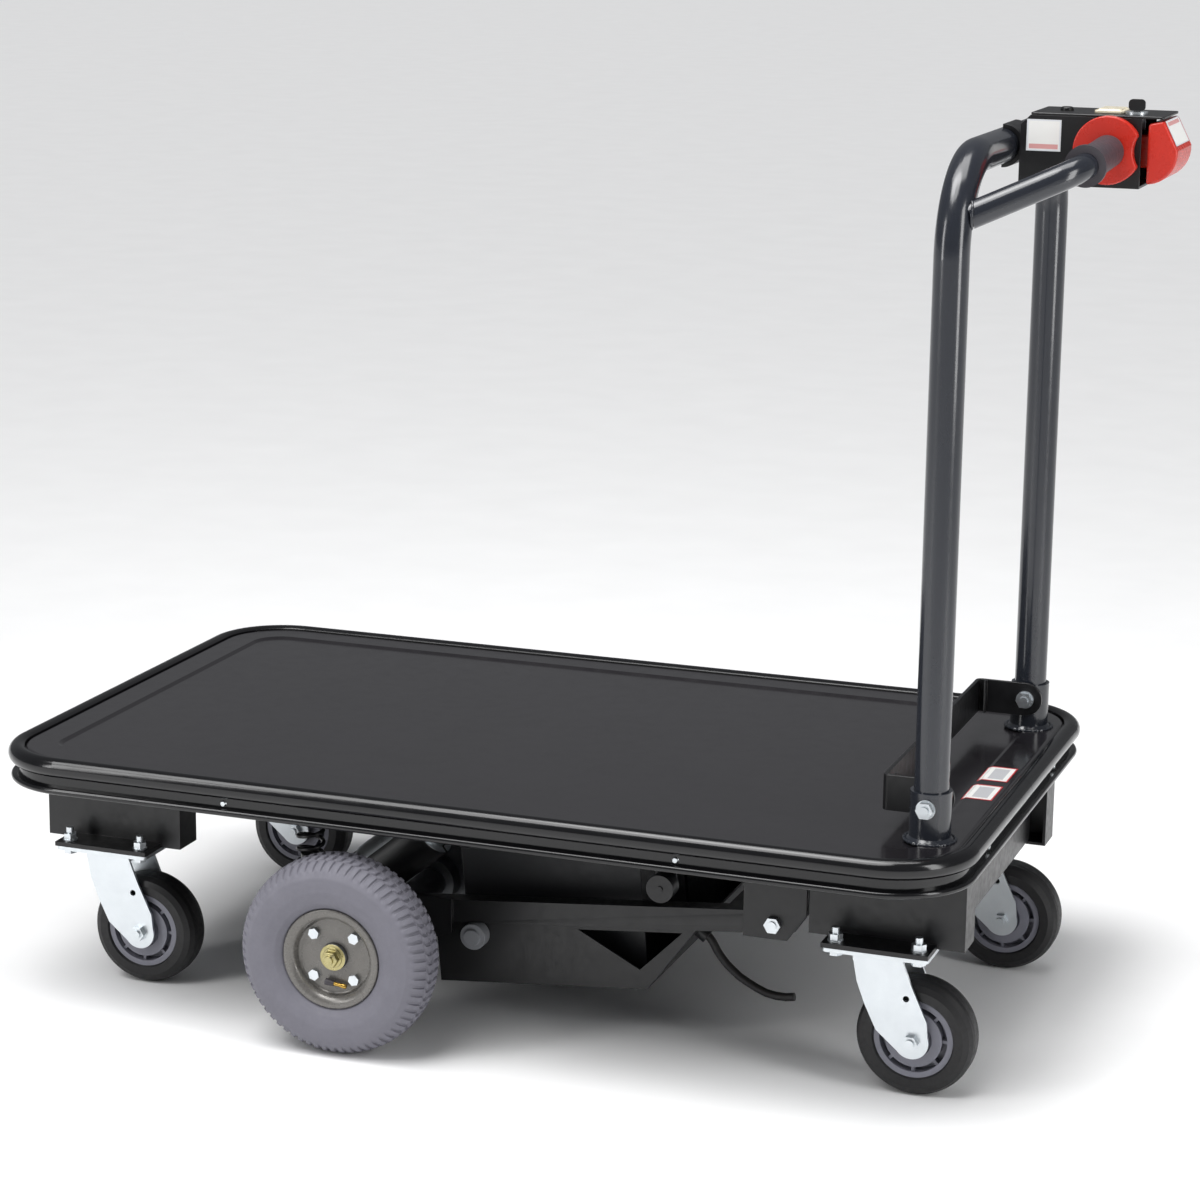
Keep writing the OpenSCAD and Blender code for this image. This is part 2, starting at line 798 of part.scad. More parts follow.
module throttle_levers() {
  color(signal_red) place() for (s = [-1, 1])
    translate([throttle_x, 0, throttle_z]) xz_plate(s * (lever_y + lever_t / 2), lever_t) difference() {
      circle(lever_r);
      translate([lever_r + 24, 0]) circle(34);
      translate([lever_r - 5, -lever_r]) square(2 * lever_r);
      circle(d = throttle_shaft_d + 0.04);
    }
}

module throttle_shaft() {
  color(zinc) place() y_bar(throttle_x, 0, throttle_z, 2 * (lever_y + lever_t) + 2, throttle_shaft_d);
}

module belly_switch() {
  mid = head_base + head_h * 0.52;
  low = head_base + 6;
  color(signal_red) place() {
    xz_plate(0, head_w) polygon(concat(
      [[belly_x, low], [belly_x, head_z - 6], [belly_x + belly_l / 2, head_z - 2]],
      [for (a = [5:-10:-85]) [belly_x + belly_l * cos(a), mid + (mid - low) * sin(a)]]));
    translate([belly_x - stem_l, -stem_w / 2, mid - stem_h / 2]) cube([stem_l + 1, stem_w, stem_h]);
  }
}

// ---------- drive unit ----------

// The arm's own frame: its pivot is the origin and -X runs down to the axle
module on_arm() {
  translate([pivot_x, 0, pivot_z]) rotate([0, -arm_tilt, 0]) children();
}

// The drive unit hangs from two cheeked brackets and pushes up on two spring caps
module hanger_brackets() {
  cut = 25;
  reach = arm_w / 2 + 2.5 + bush_gap;
  color(steel_black) place() for (s = [-1, 1], c = [-1, 1]) difference() {
    union() {
      xz_plate(s * rail_y + c * (reach + cheek_t / 2), cheek_t)
        polygon([[pivot_x - 40, frame_z], [pivot_x - 40, pivot_z - 20], [pivot_x + 18, pivot_z - 20],
          [pivot_x + 18 + cut, pivot_z + 17], [pivot_x + 18 + cut, frame_z]]);
      if (c > 0) translate([pivot_x - 40, s * rail_y - reach - 1, frame_z - 5]) cube([83, 2 * reach + 2, 5]);
    }
    y_bar(pivot_x, s * rail_y, pivot_z, 80, pivot_d + bolt_gap);
  }
  color(steel_black) place() for (s = [-1, 1]) translate([spring_x, s * spring_y, frame_z - spring_cap_t])
    cylinder(h = spring_cap_t, d = spring_d + 8);
}

module pivot_bolts() {
  reach = arm_w / 2 + 2.5 + bush_gap + cheek_t;
  color(zinc) place() for (s = [-1, 1]) {
    y_bar(pivot_x, s * rail_y, pivot_z, 2 * reach + 20, pivot_d);
    y_hex(pivot_x, s * rail_y - reach - 8, pivot_z, 8, 19);
    y_hex(pivot_x, s * rail_y + reach, pivot_z, 10, 19);
  }
}

module subframe() {
  rail_from = -arm_l + 32;
  axle_z = drive_r;
  plate_x0 = spring_x - 17;
  plate_x1 = drive_x + 90;
  plate_y = rail_y + arm_w / 2 + axle_plate_t / 2 - weld;
  color(steel_black) place() difference() {
    union() {
      on_arm() for (s = [-1, 1]) {
        translate([rail_from, s * rail_y - arm_w / 2, -arm_h / 2]) difference() {
          cube([-rail_from + 18, arm_w, arm_h]);
          translate([-1, rail_wall, rail_wall])
            cube([-rail_from + 20, arm_w - 2 * rail_wall, arm_h - 2 * rail_wall]);
        }
        y_bar(0, s * rail_y, 0, arm_w + 5, bush_d);
      }
      on_arm() translate([-70, -rail_y + arm_w / 2, -12]) cube([24, 2 * rail_y - arm_w, 24]);
      for (s = [-1, 1]) xz_plate(s * plate_y, axle_plate_t)
        polygon([[plate_x0, axle_z - 18], [drive_x - 34, axle_z - 34], [drive_x + 34, axle_z - 34],
          [plate_x1, axle_z - 12], [plate_x1, axle_z + 34], [drive_x - 40, axle_z + 34],
          [plate_x0, axle_z + 16]]);
      translate([spring_x - beam_s / 2, -plate_y, axle_z - 17]) cube([beam_s, 2 * plate_y, beam_s]);
      for (s = [-1, 1]) {
        translate([spring_x, s * spring_y, axle_z + 12])
          cylinder(h = spring_seat_z - axle_z - 12, d = spring_d - 6);
        translate([spring_x, s * spring_y, spring_seat_z - 4]) cylinder(h = 4, d = spring_d + 8);
        translate([spring_x, s * spring_y, spring_seat_z - 1])
          cylinder(h = 19, d = spring_d - 2 * spring_wire - 2);
      }
    }
    y_bar(drive_x, 0, axle_z, 2 * plate_y + 40, axle_tube_d + bolt_gap);
    on_arm() for (s = [-1, 1]) y_bar(0, s * rail_y, 0, arm_w + 20, pivot_d + 2 * run_gap);
  }
}

tray_floor = -arm_h / 2 - tray_depth;
tray_top = -arm_h / 2;
tray_end = tray_back + tray_slope;
gland_d = 22;
gland_l = 14;
gland_at = 0.73;

module battery_tray() {
  width = 2 * rail_y + tray_t;
  lean = atan2(tray_slope, tray_depth);
  color(steel_black) place() on_arm() {
    for (s = [-1, 1]) xz_plate(s * rail_y, tray_t) difference() {
      polygon([[tray_front, tray_top], [tray_front, tray_floor], [tray_back, tray_floor],
        [tray_end, tray_top]]);
      polygon([[tray_back - 88, tray_top - 8], [tray_back - 8, tray_floor + 26],
        [tray_end - 22, tray_top - 8]]);
    }
    translate([tray_front, -width / 2, tray_floor]) cube([tray_back - tray_front, width, tray_t]);
    translate([tray_front, -width / 2, tray_floor]) cube([tray_t, width, tray_depth]);
    xz_plate(0, width) polygon([[tray_back, tray_floor], [tray_end, tray_top],
      [tray_end - 4, tray_top], [tray_back - 4, tray_floor]]);
    translate([tray_back + tray_slope * gland_at, -150, tray_floor + tray_depth * gland_at])
      rotate([0, 90 + lean, 0]) translate([0, 0, -2]) cylinder(h = gland_l + 2, d = gland_d);
  }
}

breaker_x = tray_front + 58;
breaker_d = 35;
breaker_z = tray_top - breaker_d / 2 - 0.5;

module breaker() {
  color("#8a8d92") place() on_arm() {
    y_bar(breaker_x, -rail_y - tray_t / 2 - 9, breaker_z, 18, breaker_d);
    y_bar(breaker_x, -rail_y - tray_t / 2 - 20, breaker_z, 5, 22);
  }
}

module batteries() {
  floor_z = tray_floor + tray_t;
  color("#26282b") place() on_arm() for (s = [-1, 1]) {
    translate([tray_back - 13 - battery_l, s * (battery_w / 2 + 4) - battery_w / 2, floor_z])
      cube([battery_l, battery_w, battery_h]);
    for (x = [30, battery_l - 30])
      translate([tray_back - 13 - battery_l + x, s * (battery_w / 2 + 4), floor_z + battery_h])
        cylinder(h = 6, d = 16);
  }
}

motor_d = 76;
motor_tilt = 40;
motor_y = -150;
motor_off = axle_tube_d / 2 + motor_d / 2 + 0.5;
motor_low = -22;
motor_high = 84;

// The motor lies beside the gearbox and leans up towards the handle end
module on_motor() {
  translate([drive_x, motor_y, drive_r]) rotate([0, 90 - motor_tilt, 0]) translate([-motor_off, 0, 0])
    children();
}

module transaxle() {
  gear_r = 56;
  tube_end = drive_y - drive_w / 2 - 12;
  color("#77797d") place() difference() {
    union() {
      y_bar(drive_x, 0, drive_r, 120, 2 * gear_r);
      for (s = [-1, 1]) y_bar(drive_x, s * 70, drive_r, 30, 64);
      y_bar(drive_x, 0, drive_r, 2 * tube_end, axle_tube_d);
      on_motor() translate([0, 0, motor_low - 24]) cylinder(h = 24, d = motor_d - 6);
      translate([0, -50 - motor_y, 0]) on_motor() translate([14, 0, motor_low - 12])
        rotate([90, 0, 0]) cylinder(h = -motor_y - 75, d = 24);
    }
    y_bar(drive_x, 0, drive_r, 2 * tube_end + 10, half_shaft_d + 2 * run_gap);
  }
}

module drive_motor() {
  color(zinc) place() on_motor() {
    translate([0, 0, motor_low]) cylinder(h = motor_high - motor_low, d = motor_d);
    translate([0, 0, motor_high]) cylinder(h = 6, d = motor_d - 20);
  }
}

module coil_springs() {
  low = spring_seat_z + spring_wire / 2 + 0.2;
  high = frame_z - spring_cap_t - spring_wire / 2 - 0.2;
  steps = 14;
  r = (spring_d - spring_wire) / 2;
  color("#3b3c40") place() for (s = [-1, 1]) translate([spring_x, s * spring_y, 0])
    swept_tube([for (i = [0:spring_turns * steps])
      [r * cos(360 * i / steps), r * sin(360 * i / steps), low + (high - low) * i / (spring_turns * steps)]],
      spring_wire, 8);
}

control_l = 160;
control_w = 180;
control_h = 30;

module controller() {
  color("#55585d") place() translate([-control_l / 2, -control_w / 2, frame_z - control_h])
    cube([control_l, control_w, control_h]);
}

socket_x = drive_x + 379;
socket_z = frame_z - 75;
socket_back = -rail_y - 2;

module charge_socket() {
  color("#303236") place() {
    y_bar(socket_x, socket_back - 16, socket_z, 24, 36);
    translate([socket_x - 14, socket_back - 4, socket_z]) cube([28, 4, frame_z - socket_z]);
    y_bar(socket_x, socket_back - 28.5, socket_z, 3, 8);
  }
}

// Route of the charging lead, under the frame from the controller to the socket's back
lead_z = frame_z - 14;
lead_route = [[control_l / 2, -60, lead_z], [control_l / 2 + 30, -60, lead_z - 2],
  [control_l / 2 + 60, -66, lead_z - 4], [control_l / 2 + 90, -82, lead_z - 5],
  [socket_x - 40, -110, lead_z - 6], [socket_x - 20, -140, lead_z - 6], [socket_x - 8, -170, lead_z - 7],
  [socket_x - 2, -188, lead_z - 12], [socket_x, -198, lead_z - 22], [socket_x, -201, lead_z - 32],
  [socket_x, -204, lead_z - 41], [socket_x, -208, lead_z - 47], [socket_x, -213, lead_z - 50],
  [socket_x, socket_back, lead_z - 50]];

module cable_harness() {
  color("#161617") place() swept_tube(lead_route, cable_d, 10);
}

module tail_hose() {
  color(rubber) place() swept_tube(hose_route, hose_d, 10);
}

// ---------- drive wheels, built on the +Y side: y = 0 is the tyre's middle ----------

// Points on a squared-off oval round radius r0: h high, w to each side
function oval(r0, h, w, a) =
  [r0 + h * sign(cos(a)) * pow(abs(cos(a)), 0.8), w * sign(sin(a)) * pow(abs(sin(a)), 0.8)];

module at_drive(s) {
  place() translate([drive_x, s * drive_y, drive_r]) scale([1, s, 1]) rotate([-90, 0, 0]) children();
}

tyre_wall = 9;
bead_w = rim_half - 1.5;
bead_in = 14;
bead_top = rim_flange_r - 1;

module drive_tyre(s) {
  low = bead_r + 0.1;
  mid = (drive_r + low + 10) / 2;
  rise = drive_r - mid;
  half = drive_w / 2;
  color("#8b8c90") at_drive(s) rotate_extrude($fn = 96) polygon(concat(
    [[low, -bead_w], [bead_top, -bead_w]],
    [for (a = [-132:12:132]) oval(mid, rise, half, a)],
    [[bead_top, bead_w], [low, bead_w], [low, bead_in], [bead_top + 6, bead_in + 2]],
    [for (a = [132:-24:-132]) oval(mid, rise - tyre_wall, half - tyre_wall, a)],
    [[bead_top + 6, -bead_in - 2], [low, -bead_in]]));
}

module drive_rim(s) {
  color("#6f7074") at_drive(s) difference() {
    rotate_extrude($fn = 96) {
      translate([bead_r - rim_t, -rim_half]) square([rim_t, 2 * rim_half]);
      for (e = [-1, 1]) translate([bead_r - rim_t, e * (rim_half + rim_t / 2) - rim_t / 2])
        square([rim_flange_r - bead_r + rim_t, rim_t]);
      translate([hub_boss_d / 2 + 0.5, rim_disc_out - rim_t]) square([bead_r - hub_boss_d / 2 - 1, rim_t]);
    }
    for (i = [0:rim_bolts_n - 1]) rotate([0, 0, 45 + 90 * i]) translate([rim_pcd / 2, 0, 0])
      cylinder(h = 40, d = rim_bolt_d + bolt_gap);
  }
}

module drive_hub(s) {
  inner = drive_y - 62;
  color("#9a9ca0") at_drive(s) difference() {
    union() {
      translate([0, 0, rim_disc_out - rim_t - hub_flange_t])
        cylinder(h = hub_flange_t, r = bead_r - rim_t - 1);
      cylinder(h = rim_disc_out + 7, d = hub_boss_d);
      translate([0, 0, -inner]) cylinder(h = inner + 1, d = half_shaft_d);
      translate([0, 0, rim_disc_out + 6.5]) cylinder(h = 2.5, d = 26);
      translate([0, 0, rim_disc_out + 9]) cylinder(h = 9, d = 19 / cos(30), $fn = 6);
      translate([0, 0, rim_disc_out + 18]) cylinder(h = 4, d = 12);
    }
    for (i = [0:rim_bolts_n - 1]) rotate([0, 0, 45 + 90 * i]) translate([rim_pcd / 2, 0, -5])
      cylinder(h = 40, d = rim_bolt_d + bolt_gap);
  }
}

module rim_bolts(s) {
  back = rim_disc_out - rim_t - hub_flange_t;
  color(zinc) at_drive(s) for (i = [0:rim_bolts_n - 1]) rotate([0, 0, 45 + 90 * i])
    translate([rim_pcd / 2, 0, 0]) {
      translate([0, 0, back - 9]) cylinder(h = rim_disc_out - back + 9, d = rim_bolt_d);
      translate([0, 0, back - 6.5]) cylinder(h = 6.5, d = 13 / cos(30), $fn = 6);
      translate([0, 0, rim_disc_out]) cylinder(h = 5.5, d = 13 / cos(30), $fn = 6);
    }
}

module fork_at(x, y) { color(zinc) at_caster(x, y) fork(); }
module axle_at(x, y) { color("#b8bcc0") at_caster(x, y) caster_axle(); }
module wheel_at(x, y) { color("#a9abb0") at_caster(x, y) wheel_core(); }
module tread_at(x, y) { color(rubber) at_caster(x, y) tread(); }

deck_pan();
bumper();
bumper_screws();
deck_frame();
end_beams();
caster_risers();
caster_plates();
caster_bolts();
handle_sockets();
handle_frame();
grip_arms();
grips();
socket_bolts();
load_stop();
head_housing();
head_cover();
key_switch();
battery_gauge();
hanger_brackets();
pivot_bolts();
controller();
charge_socket();
cable_harness();
key();
horn_button();
throttle_levers();
throttle_shaft();
belly_switch();
subframe();
battery_tray();
breaker();
batteries();
transaxle();
drive_motor();
coil_springs();
tail_hose();
drive_tyre(-1);  // drive_tyre_left
drive_tyre(1);  // drive_tyre_right
drive_rim(-1);  // drive_rim_left
drive_rim(1);  // drive_rim_right
drive_hub(-1);  // drive_hub_left
drive_hub(1);  // drive_hub_right
rim_bolts(-1);  // rim_bolts_left
rim_bolts(1);  // rim_bolts_right
fork_at(-1, -1);  // fork_front_left
fork_at(-1, 1);  // fork_front_right
fork_at(1, -1);  // fork_rear_left
fork_at(1, 1);  // fork_rear_right
axle_at(-1, -1);  // axle_front_left
axle_at(-1, 1);  // axle_front_right
axle_at(1, -1);  // axle_rear_left
axle_at(1, 1);  // axle_rear_right
wheel_at(-1, -1);  // wheel_front_left
wheel_at(-1, 1);  // wheel_front_right
wheel_at(1, -1);  // wheel_rear_left
wheel_at(1, 1);  // wheel_rear_right
tread_at(-1, -1);  // tread_front_left
tread_at(-1, 1);  // tread_front_right
tread_at(1, -1);  // tread_rear_left
tread_at(1, 1);  // tread_rear_right
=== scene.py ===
# %% [markdown]
# # A powered platform truck, dressed in Blender
# The imported CAD model is the frame: it says where every piece is and how it moves. This lesson
# adds the looks round it. Paint, zinc, rubber and plastic are built from nodes. Tyres, springs,
# welds, labels and moulded edges are built from mesh code, and each one but the springs rides on
# its CAD body.

# %% Load the frame
import json
import math

import bmesh
import bpy
from mathutils import Matrix, Vector
from mathutils.bvhtree import BVHTree


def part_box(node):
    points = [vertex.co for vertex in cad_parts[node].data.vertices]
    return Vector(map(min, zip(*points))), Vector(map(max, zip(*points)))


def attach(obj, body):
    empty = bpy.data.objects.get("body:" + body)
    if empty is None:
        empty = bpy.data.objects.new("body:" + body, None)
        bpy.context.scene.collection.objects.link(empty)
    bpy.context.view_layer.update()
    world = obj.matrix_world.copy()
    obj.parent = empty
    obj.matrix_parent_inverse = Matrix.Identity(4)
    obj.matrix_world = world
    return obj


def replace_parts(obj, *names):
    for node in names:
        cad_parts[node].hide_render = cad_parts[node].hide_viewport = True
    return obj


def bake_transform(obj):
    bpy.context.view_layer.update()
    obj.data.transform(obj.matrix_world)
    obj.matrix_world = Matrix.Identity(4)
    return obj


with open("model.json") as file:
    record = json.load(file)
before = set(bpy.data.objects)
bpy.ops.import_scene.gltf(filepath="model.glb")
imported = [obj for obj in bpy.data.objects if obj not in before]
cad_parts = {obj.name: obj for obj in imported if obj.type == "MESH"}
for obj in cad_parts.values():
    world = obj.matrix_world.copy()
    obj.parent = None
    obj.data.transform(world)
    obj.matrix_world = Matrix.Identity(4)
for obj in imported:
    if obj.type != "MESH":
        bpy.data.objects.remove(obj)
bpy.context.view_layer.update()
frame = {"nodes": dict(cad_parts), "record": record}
deck_low, deck_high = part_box("deck_pan")
MIDDLE = (deck_low.x + deck_high.x) / 2

# %% [markdown]
# ## The camera
# A long lens from well back keeps the truck's upright handle straight, and the camera stands a
# little above the deck, off the corner. Three turns say where it looks: yaw round the upright,
# pitch down towards the floor, and a small roll.

# %% Camera
LENS = 96.1
SHIFT_X, SHIFT_Y = 0.061, -0.0156
STANDPOINT = Vector((MIDDLE + 1.459, -3.909, 1.514))
YAW, PITCH, ROLL = math.radians(20.98), math.radians(13.09), math.radians(0.45)
back = Vector((math.sin(YAW) * math.cos(PITCH), -math.cos(YAW) * math.cos(PITCH), math.sin(PITCH)))
right = Vector((math.cos(YAW), math.sin(YAW), 0))
up = back.cross(right)
turned_right = right * math.cos(ROLL) + up * math.sin(ROLL)
turned_up = up * math.cos(ROLL) - right * math.sin(ROLL)

lens = bpy.data.cameras.new("camera")
lens.lens = LENS
lens.shift_x, lens.shift_y = SHIFT_X, SHIFT_Y
camera = bpy.data.objects.new("camera", lens)
camera.matrix_world = Matrix((turned_right, turned_up, back)).transposed().to_4x4()
camera.location = STANDPOINT
bpy.context.scene.collection.objects.link(camera)
bpy.context.scene.camera = camera
print("camera at", [round(v, 3) for v in camera.location])


# %% [markdown]
# ## Helpers for colours and nodes
# Finishes are node trees. One function turns a hex colour into linear light, and one adds a node
# with its settings and its links, so a finish reads as a short list of what feeds what.

# %% Colours and nodes
def linear(code):
    """An sRGB hex colour as the linear RGBA that Blender's sockets take."""
    parts = [int(code[i:i + 2], 16) / 255 for i in (1, 3, 5)]
    return [p / 12.92 if p <= 0.04045 else ((p + 0.055) / 1.055) ** 2.4 for p in parts] + [1.0]


def add_node(tree, kind, settings=None, inputs=None):
    """Adds one node, sets its properties, and sets or links each named or numbered input."""
    node = tree.nodes.new("ShaderNode" + kind)
    for name, value in (settings or {}).items():
        setattr(node, name, value)
    for key, value in (inputs or {}).items():
        if isinstance(value, bpy.types.NodeSocket):
            tree.links.new(value, node.inputs[key])
        else:
            node.inputs[key].default_value = value
    return node


def new_material(name):
    """An empty node material: the material, its tree, its Principled shader and its coordinates."""
    material = bpy.data.materials.new(name)
    material.use_nodes = True
    tree = material.node_tree
    shader = tree.nodes["Principled BSDF"]
    coords = add_node(tree, "TexCoord").outputs["Object"]
    return material, tree, shader, coords


MM = 0.001
print("white is", [round(v, 3) for v in linear("#ffffff")])

# %% [markdown]
# ## Light and floor
# Painted steel looks like what it reflects, so the lights are large soft panels: a long one gives
# a tube its long highlight. A wide sun softens the shadow under the deck. The sky that lights the
# truck is darker than the sky the camera sees, so that dark paint stays dark on a pale ground.

# %% Lights, world and floor
SKY_LIGHT, SKY_SEEN = 0.22, 0.9
SUN_POWER, SUN_SPREAD, SUN_TILT = 2.2, math.radians(40), (math.radians(18), math.radians(-14), 0)
REACH = 60
scene = bpy.context.scene
scene.view_settings.view_transform = "Standard"
world = bpy.data.worlds.new("studio")
world.use_nodes = True
sky = world.node_tree.nodes["Background"]
sky.inputs["Color"].default_value = linear("#eef0f4")
sky.inputs["Strength"].default_value = SKY_LIGHT
seen_sky = add_node(world.node_tree, "Background", inputs={
    "Color": linear("#f5f5f5"), "Strength": SKY_SEEN})
ray = add_node(world.node_tree, "LightPath").outputs["Is Camera Ray"]
choice = add_node(world.node_tree, "MixShader", inputs={
    0: ray, 1: sky.outputs[0], 2: seen_sky.outputs[0]})
world.node_tree.links.new(choice.outputs[0], world.node_tree.nodes["World Output"].inputs[0])
scene.world = world


def soft_panel(name, place, aim, size, watts):
    """A large rectangular softbox at place, facing aim."""
    data = bpy.data.lights.new(name, "AREA")
    data.shape = "RECTANGLE"
    data.size, data.size_y = size
    data.energy = watts
    panel = bpy.data.objects.new(name, data)
    panel.location = place
    panel.rotation_euler = (Vector(aim) - Vector(place)).to_track_quat("-Z", "Y").to_euler()
    scene.collection.objects.link(panel)


soft_panel("top_panel", (0.1, -0.2, 3.4), (0, 0, 0.3), (2.6, 1.6), 60)
soft_panel("near_panel", (-2.2, -2.7, 1.7), (0, 0, 0.4), (0.7, 2.4), 36)
soft_panel("end_panel", (3.0, -1.1, 1.5), (0.2, 0, 0.5), (0.8, 2.4), 40)
sun_data = bpy.data.lights.new("soft_sun", "SUN")
sun_data.energy = SUN_POWER
sun_data.angle = SUN_SPREAD
sun = bpy.data.objects.new("soft_sun", sun_data)
sun.rotation_euler = SUN_TILT
scene.collection.objects.link(sun)

floor_paint, tree, shader, coords = new_material("pale_floor")
speckle = add_node(tree, "TexNoise", inputs={"Vector": coords, "Scale": 6.0, "Detail": 3.0})
shade = add_node(tree, "ValToRGB", inputs={"Fac": speckle.outputs["Fac"]})
shade.color_ramp.elements[0].color = linear("#f1f1f1")
shade.color_ramp.elements[1].color = linear("#f8f8f8")
tree.links.new(shade.outputs["Color"], shader.inputs["Base Color"])
shader.inputs["Roughness"].default_value = 0.7
floor_mesh = bpy.data.meshes.new("floor")
floor_corners = [(x * REACH, y * REACH, 0) for x, y in ((-1, -1), (1, -1), (1, 1), (-1, 1))]
floor_mesh.from_pydata(floor_corners, [], [(0, 1, 2, 3)])
floor = bpy.data.objects.new("floor", floor_mesh)
floor.data.materials.append(floor_paint)
scene.collection.objects.link(floor)


# %% [markdown]
# ## One recipe for finishes
# Every real finish here has the same three scales: broad patches where the colour drifts, marks
# of a few millimetres where handling has polished or dulled it, and a fine grit that breaks up
# the reflection. One recipe holds these scales in millimetres, and each finish fills in its own.

# %% The recipe
MARKS_LOW, MARKS_HIGH = 0.3, 0.7  # the span of noise that is spread over a finish's gloss


def finish(name, colour, patch_colour, patch_mm, rough, mark_mm, grit_mm, grit_depth_mm,
           metallic=0.0, stretch=(1, 1, 1), grit_strength=0.3):
    """A finish: colour drifts in patches, gloss drifts in marks, and grit stands out as relief."""
    material, tree, shader, coords = new_material(name)
    patches = add_node(tree, "TexNoise", inputs={
        "Vector": coords, "Scale": 1 / (patch_mm * MM), "Detail": 5.0, "Roughness": 0.6})
    mix = add_node(tree, "Mix", {"data_type": "RGBA"}, {
        0: patches.outputs["Fac"], 6: linear(colour), 7: linear(patch_colour)})
    tree.links.new(mix.outputs[2], shader.inputs["Base Color"])
    long_coords = add_node(tree, "Mapping", inputs={"Vector": coords, "Scale": stretch})
    marks = add_node(tree, "TexNoise", inputs={
        "Vector": long_coords.outputs["Vector"], "Scale": 1 / (mark_mm * MM), "Detail": 6.0})
    gloss = add_node(tree, "MapRange", inputs={
        "Value": marks.outputs["Fac"], "From Min": MARKS_LOW, "From Max": MARKS_HIGH,
        "To Min": rough[0], "To Max": rough[1]})
    tree.links.new(gloss.outputs["Result"], shader.inputs["Roughness"])
    grit = add_node(tree, "TexNoise", inputs={
        "Vector": coords, "Scale": 1 / (grit_mm * MM), "Detail": 2.0})
    relief = add_node(tree, "Bump", inputs={
        "Height": grit.outputs["Fac"], "Strength": grit_strength, "Distance": grit_depth_mm * MM})
    tree.links.new(relief.outputs["Normal"], shader.inputs["Normal"])
    shader.inputs["Metallic"].default_value = metallic
    return material


print("recipe ready")

# %% [markdown]
# ## Paint
# The deck and handle are steel, sprayed with charcoal enamel and baked. Enamel is a clear, hard
# film over pigment, so it shows a soft orange peel about 2 mm across and sharp highlights. The
# underframe has a cheaper satin black coat. A clear coat layer gives the film its second gloss.

# %% Enamels
COAT, COAT_ROUGHNESS = 0.35, 0.1
deck_enamel = finish("charcoal_enamel_deck", "#151316", "#1c1a1d", 160, (0.16, 0.26), 18,
                     2.2, 0.015)
handle_enamel = finish("charcoal_enamel_tube", "#1f2229", "#24272e", 120, (0.16, 0.24), 14,
                       2.0, 0.012)
satin_black = finish("satin_black_coat", "#0c0c0e", "#111113", 90, (0.3, 0.42), 10, 1.4, 0.04)
rim_enamel = finish("silver_grey_enamel", "#66635f", "#74726f", 60, (0.22, 0.34), 8, 1.2, 0.03,
                    metallic=0.35)
for enamel in (deck_enamel, handle_enamel):
    coat = enamel.node_tree.nodes["Principled BSDF"]
    coat.inputs["Coat Weight"].default_value = COAT
    coat.inputs["Coat Roughness"].default_value = COAT_ROUGHNESS
print("enamels ready")

# %% [markdown]
# ## Metal
# Zinc plate is bright and slightly blue, with clouds where the plating bath ran thicker, and it
# scatters light more than polished steel. The gearbox is sand-cast aluminium, whose skin has a
# pebble of about 1.5 mm. Turned steel keeps fine tool lines, so its marks are stretched.

# %% Metals
zinc_plate = finish("bright_zinc_plate", "#cdd2d6", "#dfe4e7", 30, (0.3, 0.4), 9, 0.8, 0.01,
                    metallic=1.0)
yellow_zinc = finish("yellow_passivated_zinc", "#a39a68", "#bdb48a", 5, (0.25, 0.4), 3, 0.6, 0.01,
                     metallic=1.0)
brass = finish("brass", "#b08a3e", "#c9a75a", 6, (0.22, 0.36), 3, 0.6, 0.01, metallic=1.0)
turned_steel = finish("turned_steel", "#8d8e92", "#a9abaf", 20, (0.28, 0.42), 6, 0.8, 0.012,
                      metallic=1.0, stretch=(1, 14, 1))
cast_aluminium = finish("sand_cast_aluminium", "#8b8d90", "#9fa1a4", 25, (0.48, 0.66), 6, 1.5,
                        0.18, metallic=1.0, grit_strength=0.6)
print("metals ready")

# %% [markdown]
# ## Rubber and plastic
# The bumper is a glossy vinyl section, drawn along its length, so its marks run long. Tyre rubber
# is matte: the drive tyres are a grey non-marking compound and the caster treads are black. The
# control head is ABS from a spark-eroded mould, whose grain is about half a millimetre.

# %% Rubbers
bumper_vinyl = finish("glossy_black_vinyl", "#0b0b0d", "#101012", 70, (0.12, 0.2), 40, 6.0, 0.02)
grey_rubber = finish("grey_tyre_rubber", "#66656e", "#73727b", 22, (0.6, 0.78), 5, 0.9, 0.06)
black_rubber = finish("black_caster_rubber", "#0c0b0d", "#131214", 18, (0.42, 0.62), 6, 0.9, 0.05)
grip_rubber = finish("soft_grip_rubber", "#373439", "#403c42", 12, (0.4, 0.55), 4, 0.7, 0.05)
hose_rubber = finish("hose_rubber", "#151213", "#1e1b1b", 15, (0.4, 0.55), 5, 0.8, 0.04)
print("rubbers ready")

# %% Plastics
nylon_core = finish("grey_moulded_nylon", "#6c6c76", "#7b7b85", 14, (0.36, 0.5), 5, 0.7, 0.02)
black_abs = finish("black_grained_abs", "#0b0b0d", "#101012", 30, (0.3, 0.42), 6, 0.5, 0.05)
red_abs = finish("signal_red_abs", "#b8261a", "#c02e20", 30, (0.24, 0.34), 8, 0.6, 0.008)
grey_abs = finish("grey_abs", "#77797d", "#85878b", 20, (0.35, 0.48), 6, 0.6, 0.02)
cream_lens = finish("cream_gauge_lens", "#d9cfb4", "#e6ddc6", 18, (0.12, 0.22), 8, 1.0, 0.006)
battery_case = finish("battery_case_plastic", "#1c1d20", "#26272a", 30, (0.42, 0.56), 8, 0.8, 0.05)
print("materials", len(bpy.data.materials))

# %% [markdown]
# ## Label film
# The truck's stickers are white vinyl: two have a red edge, and two have a red foot. They stay
# blank here apart from one plain panel, drawn from the sticker's own flat coordinates.

# %% Label material
FILM_LOW, FILM_HIGH = (0.05, 0.05), (0.95, 0.95)


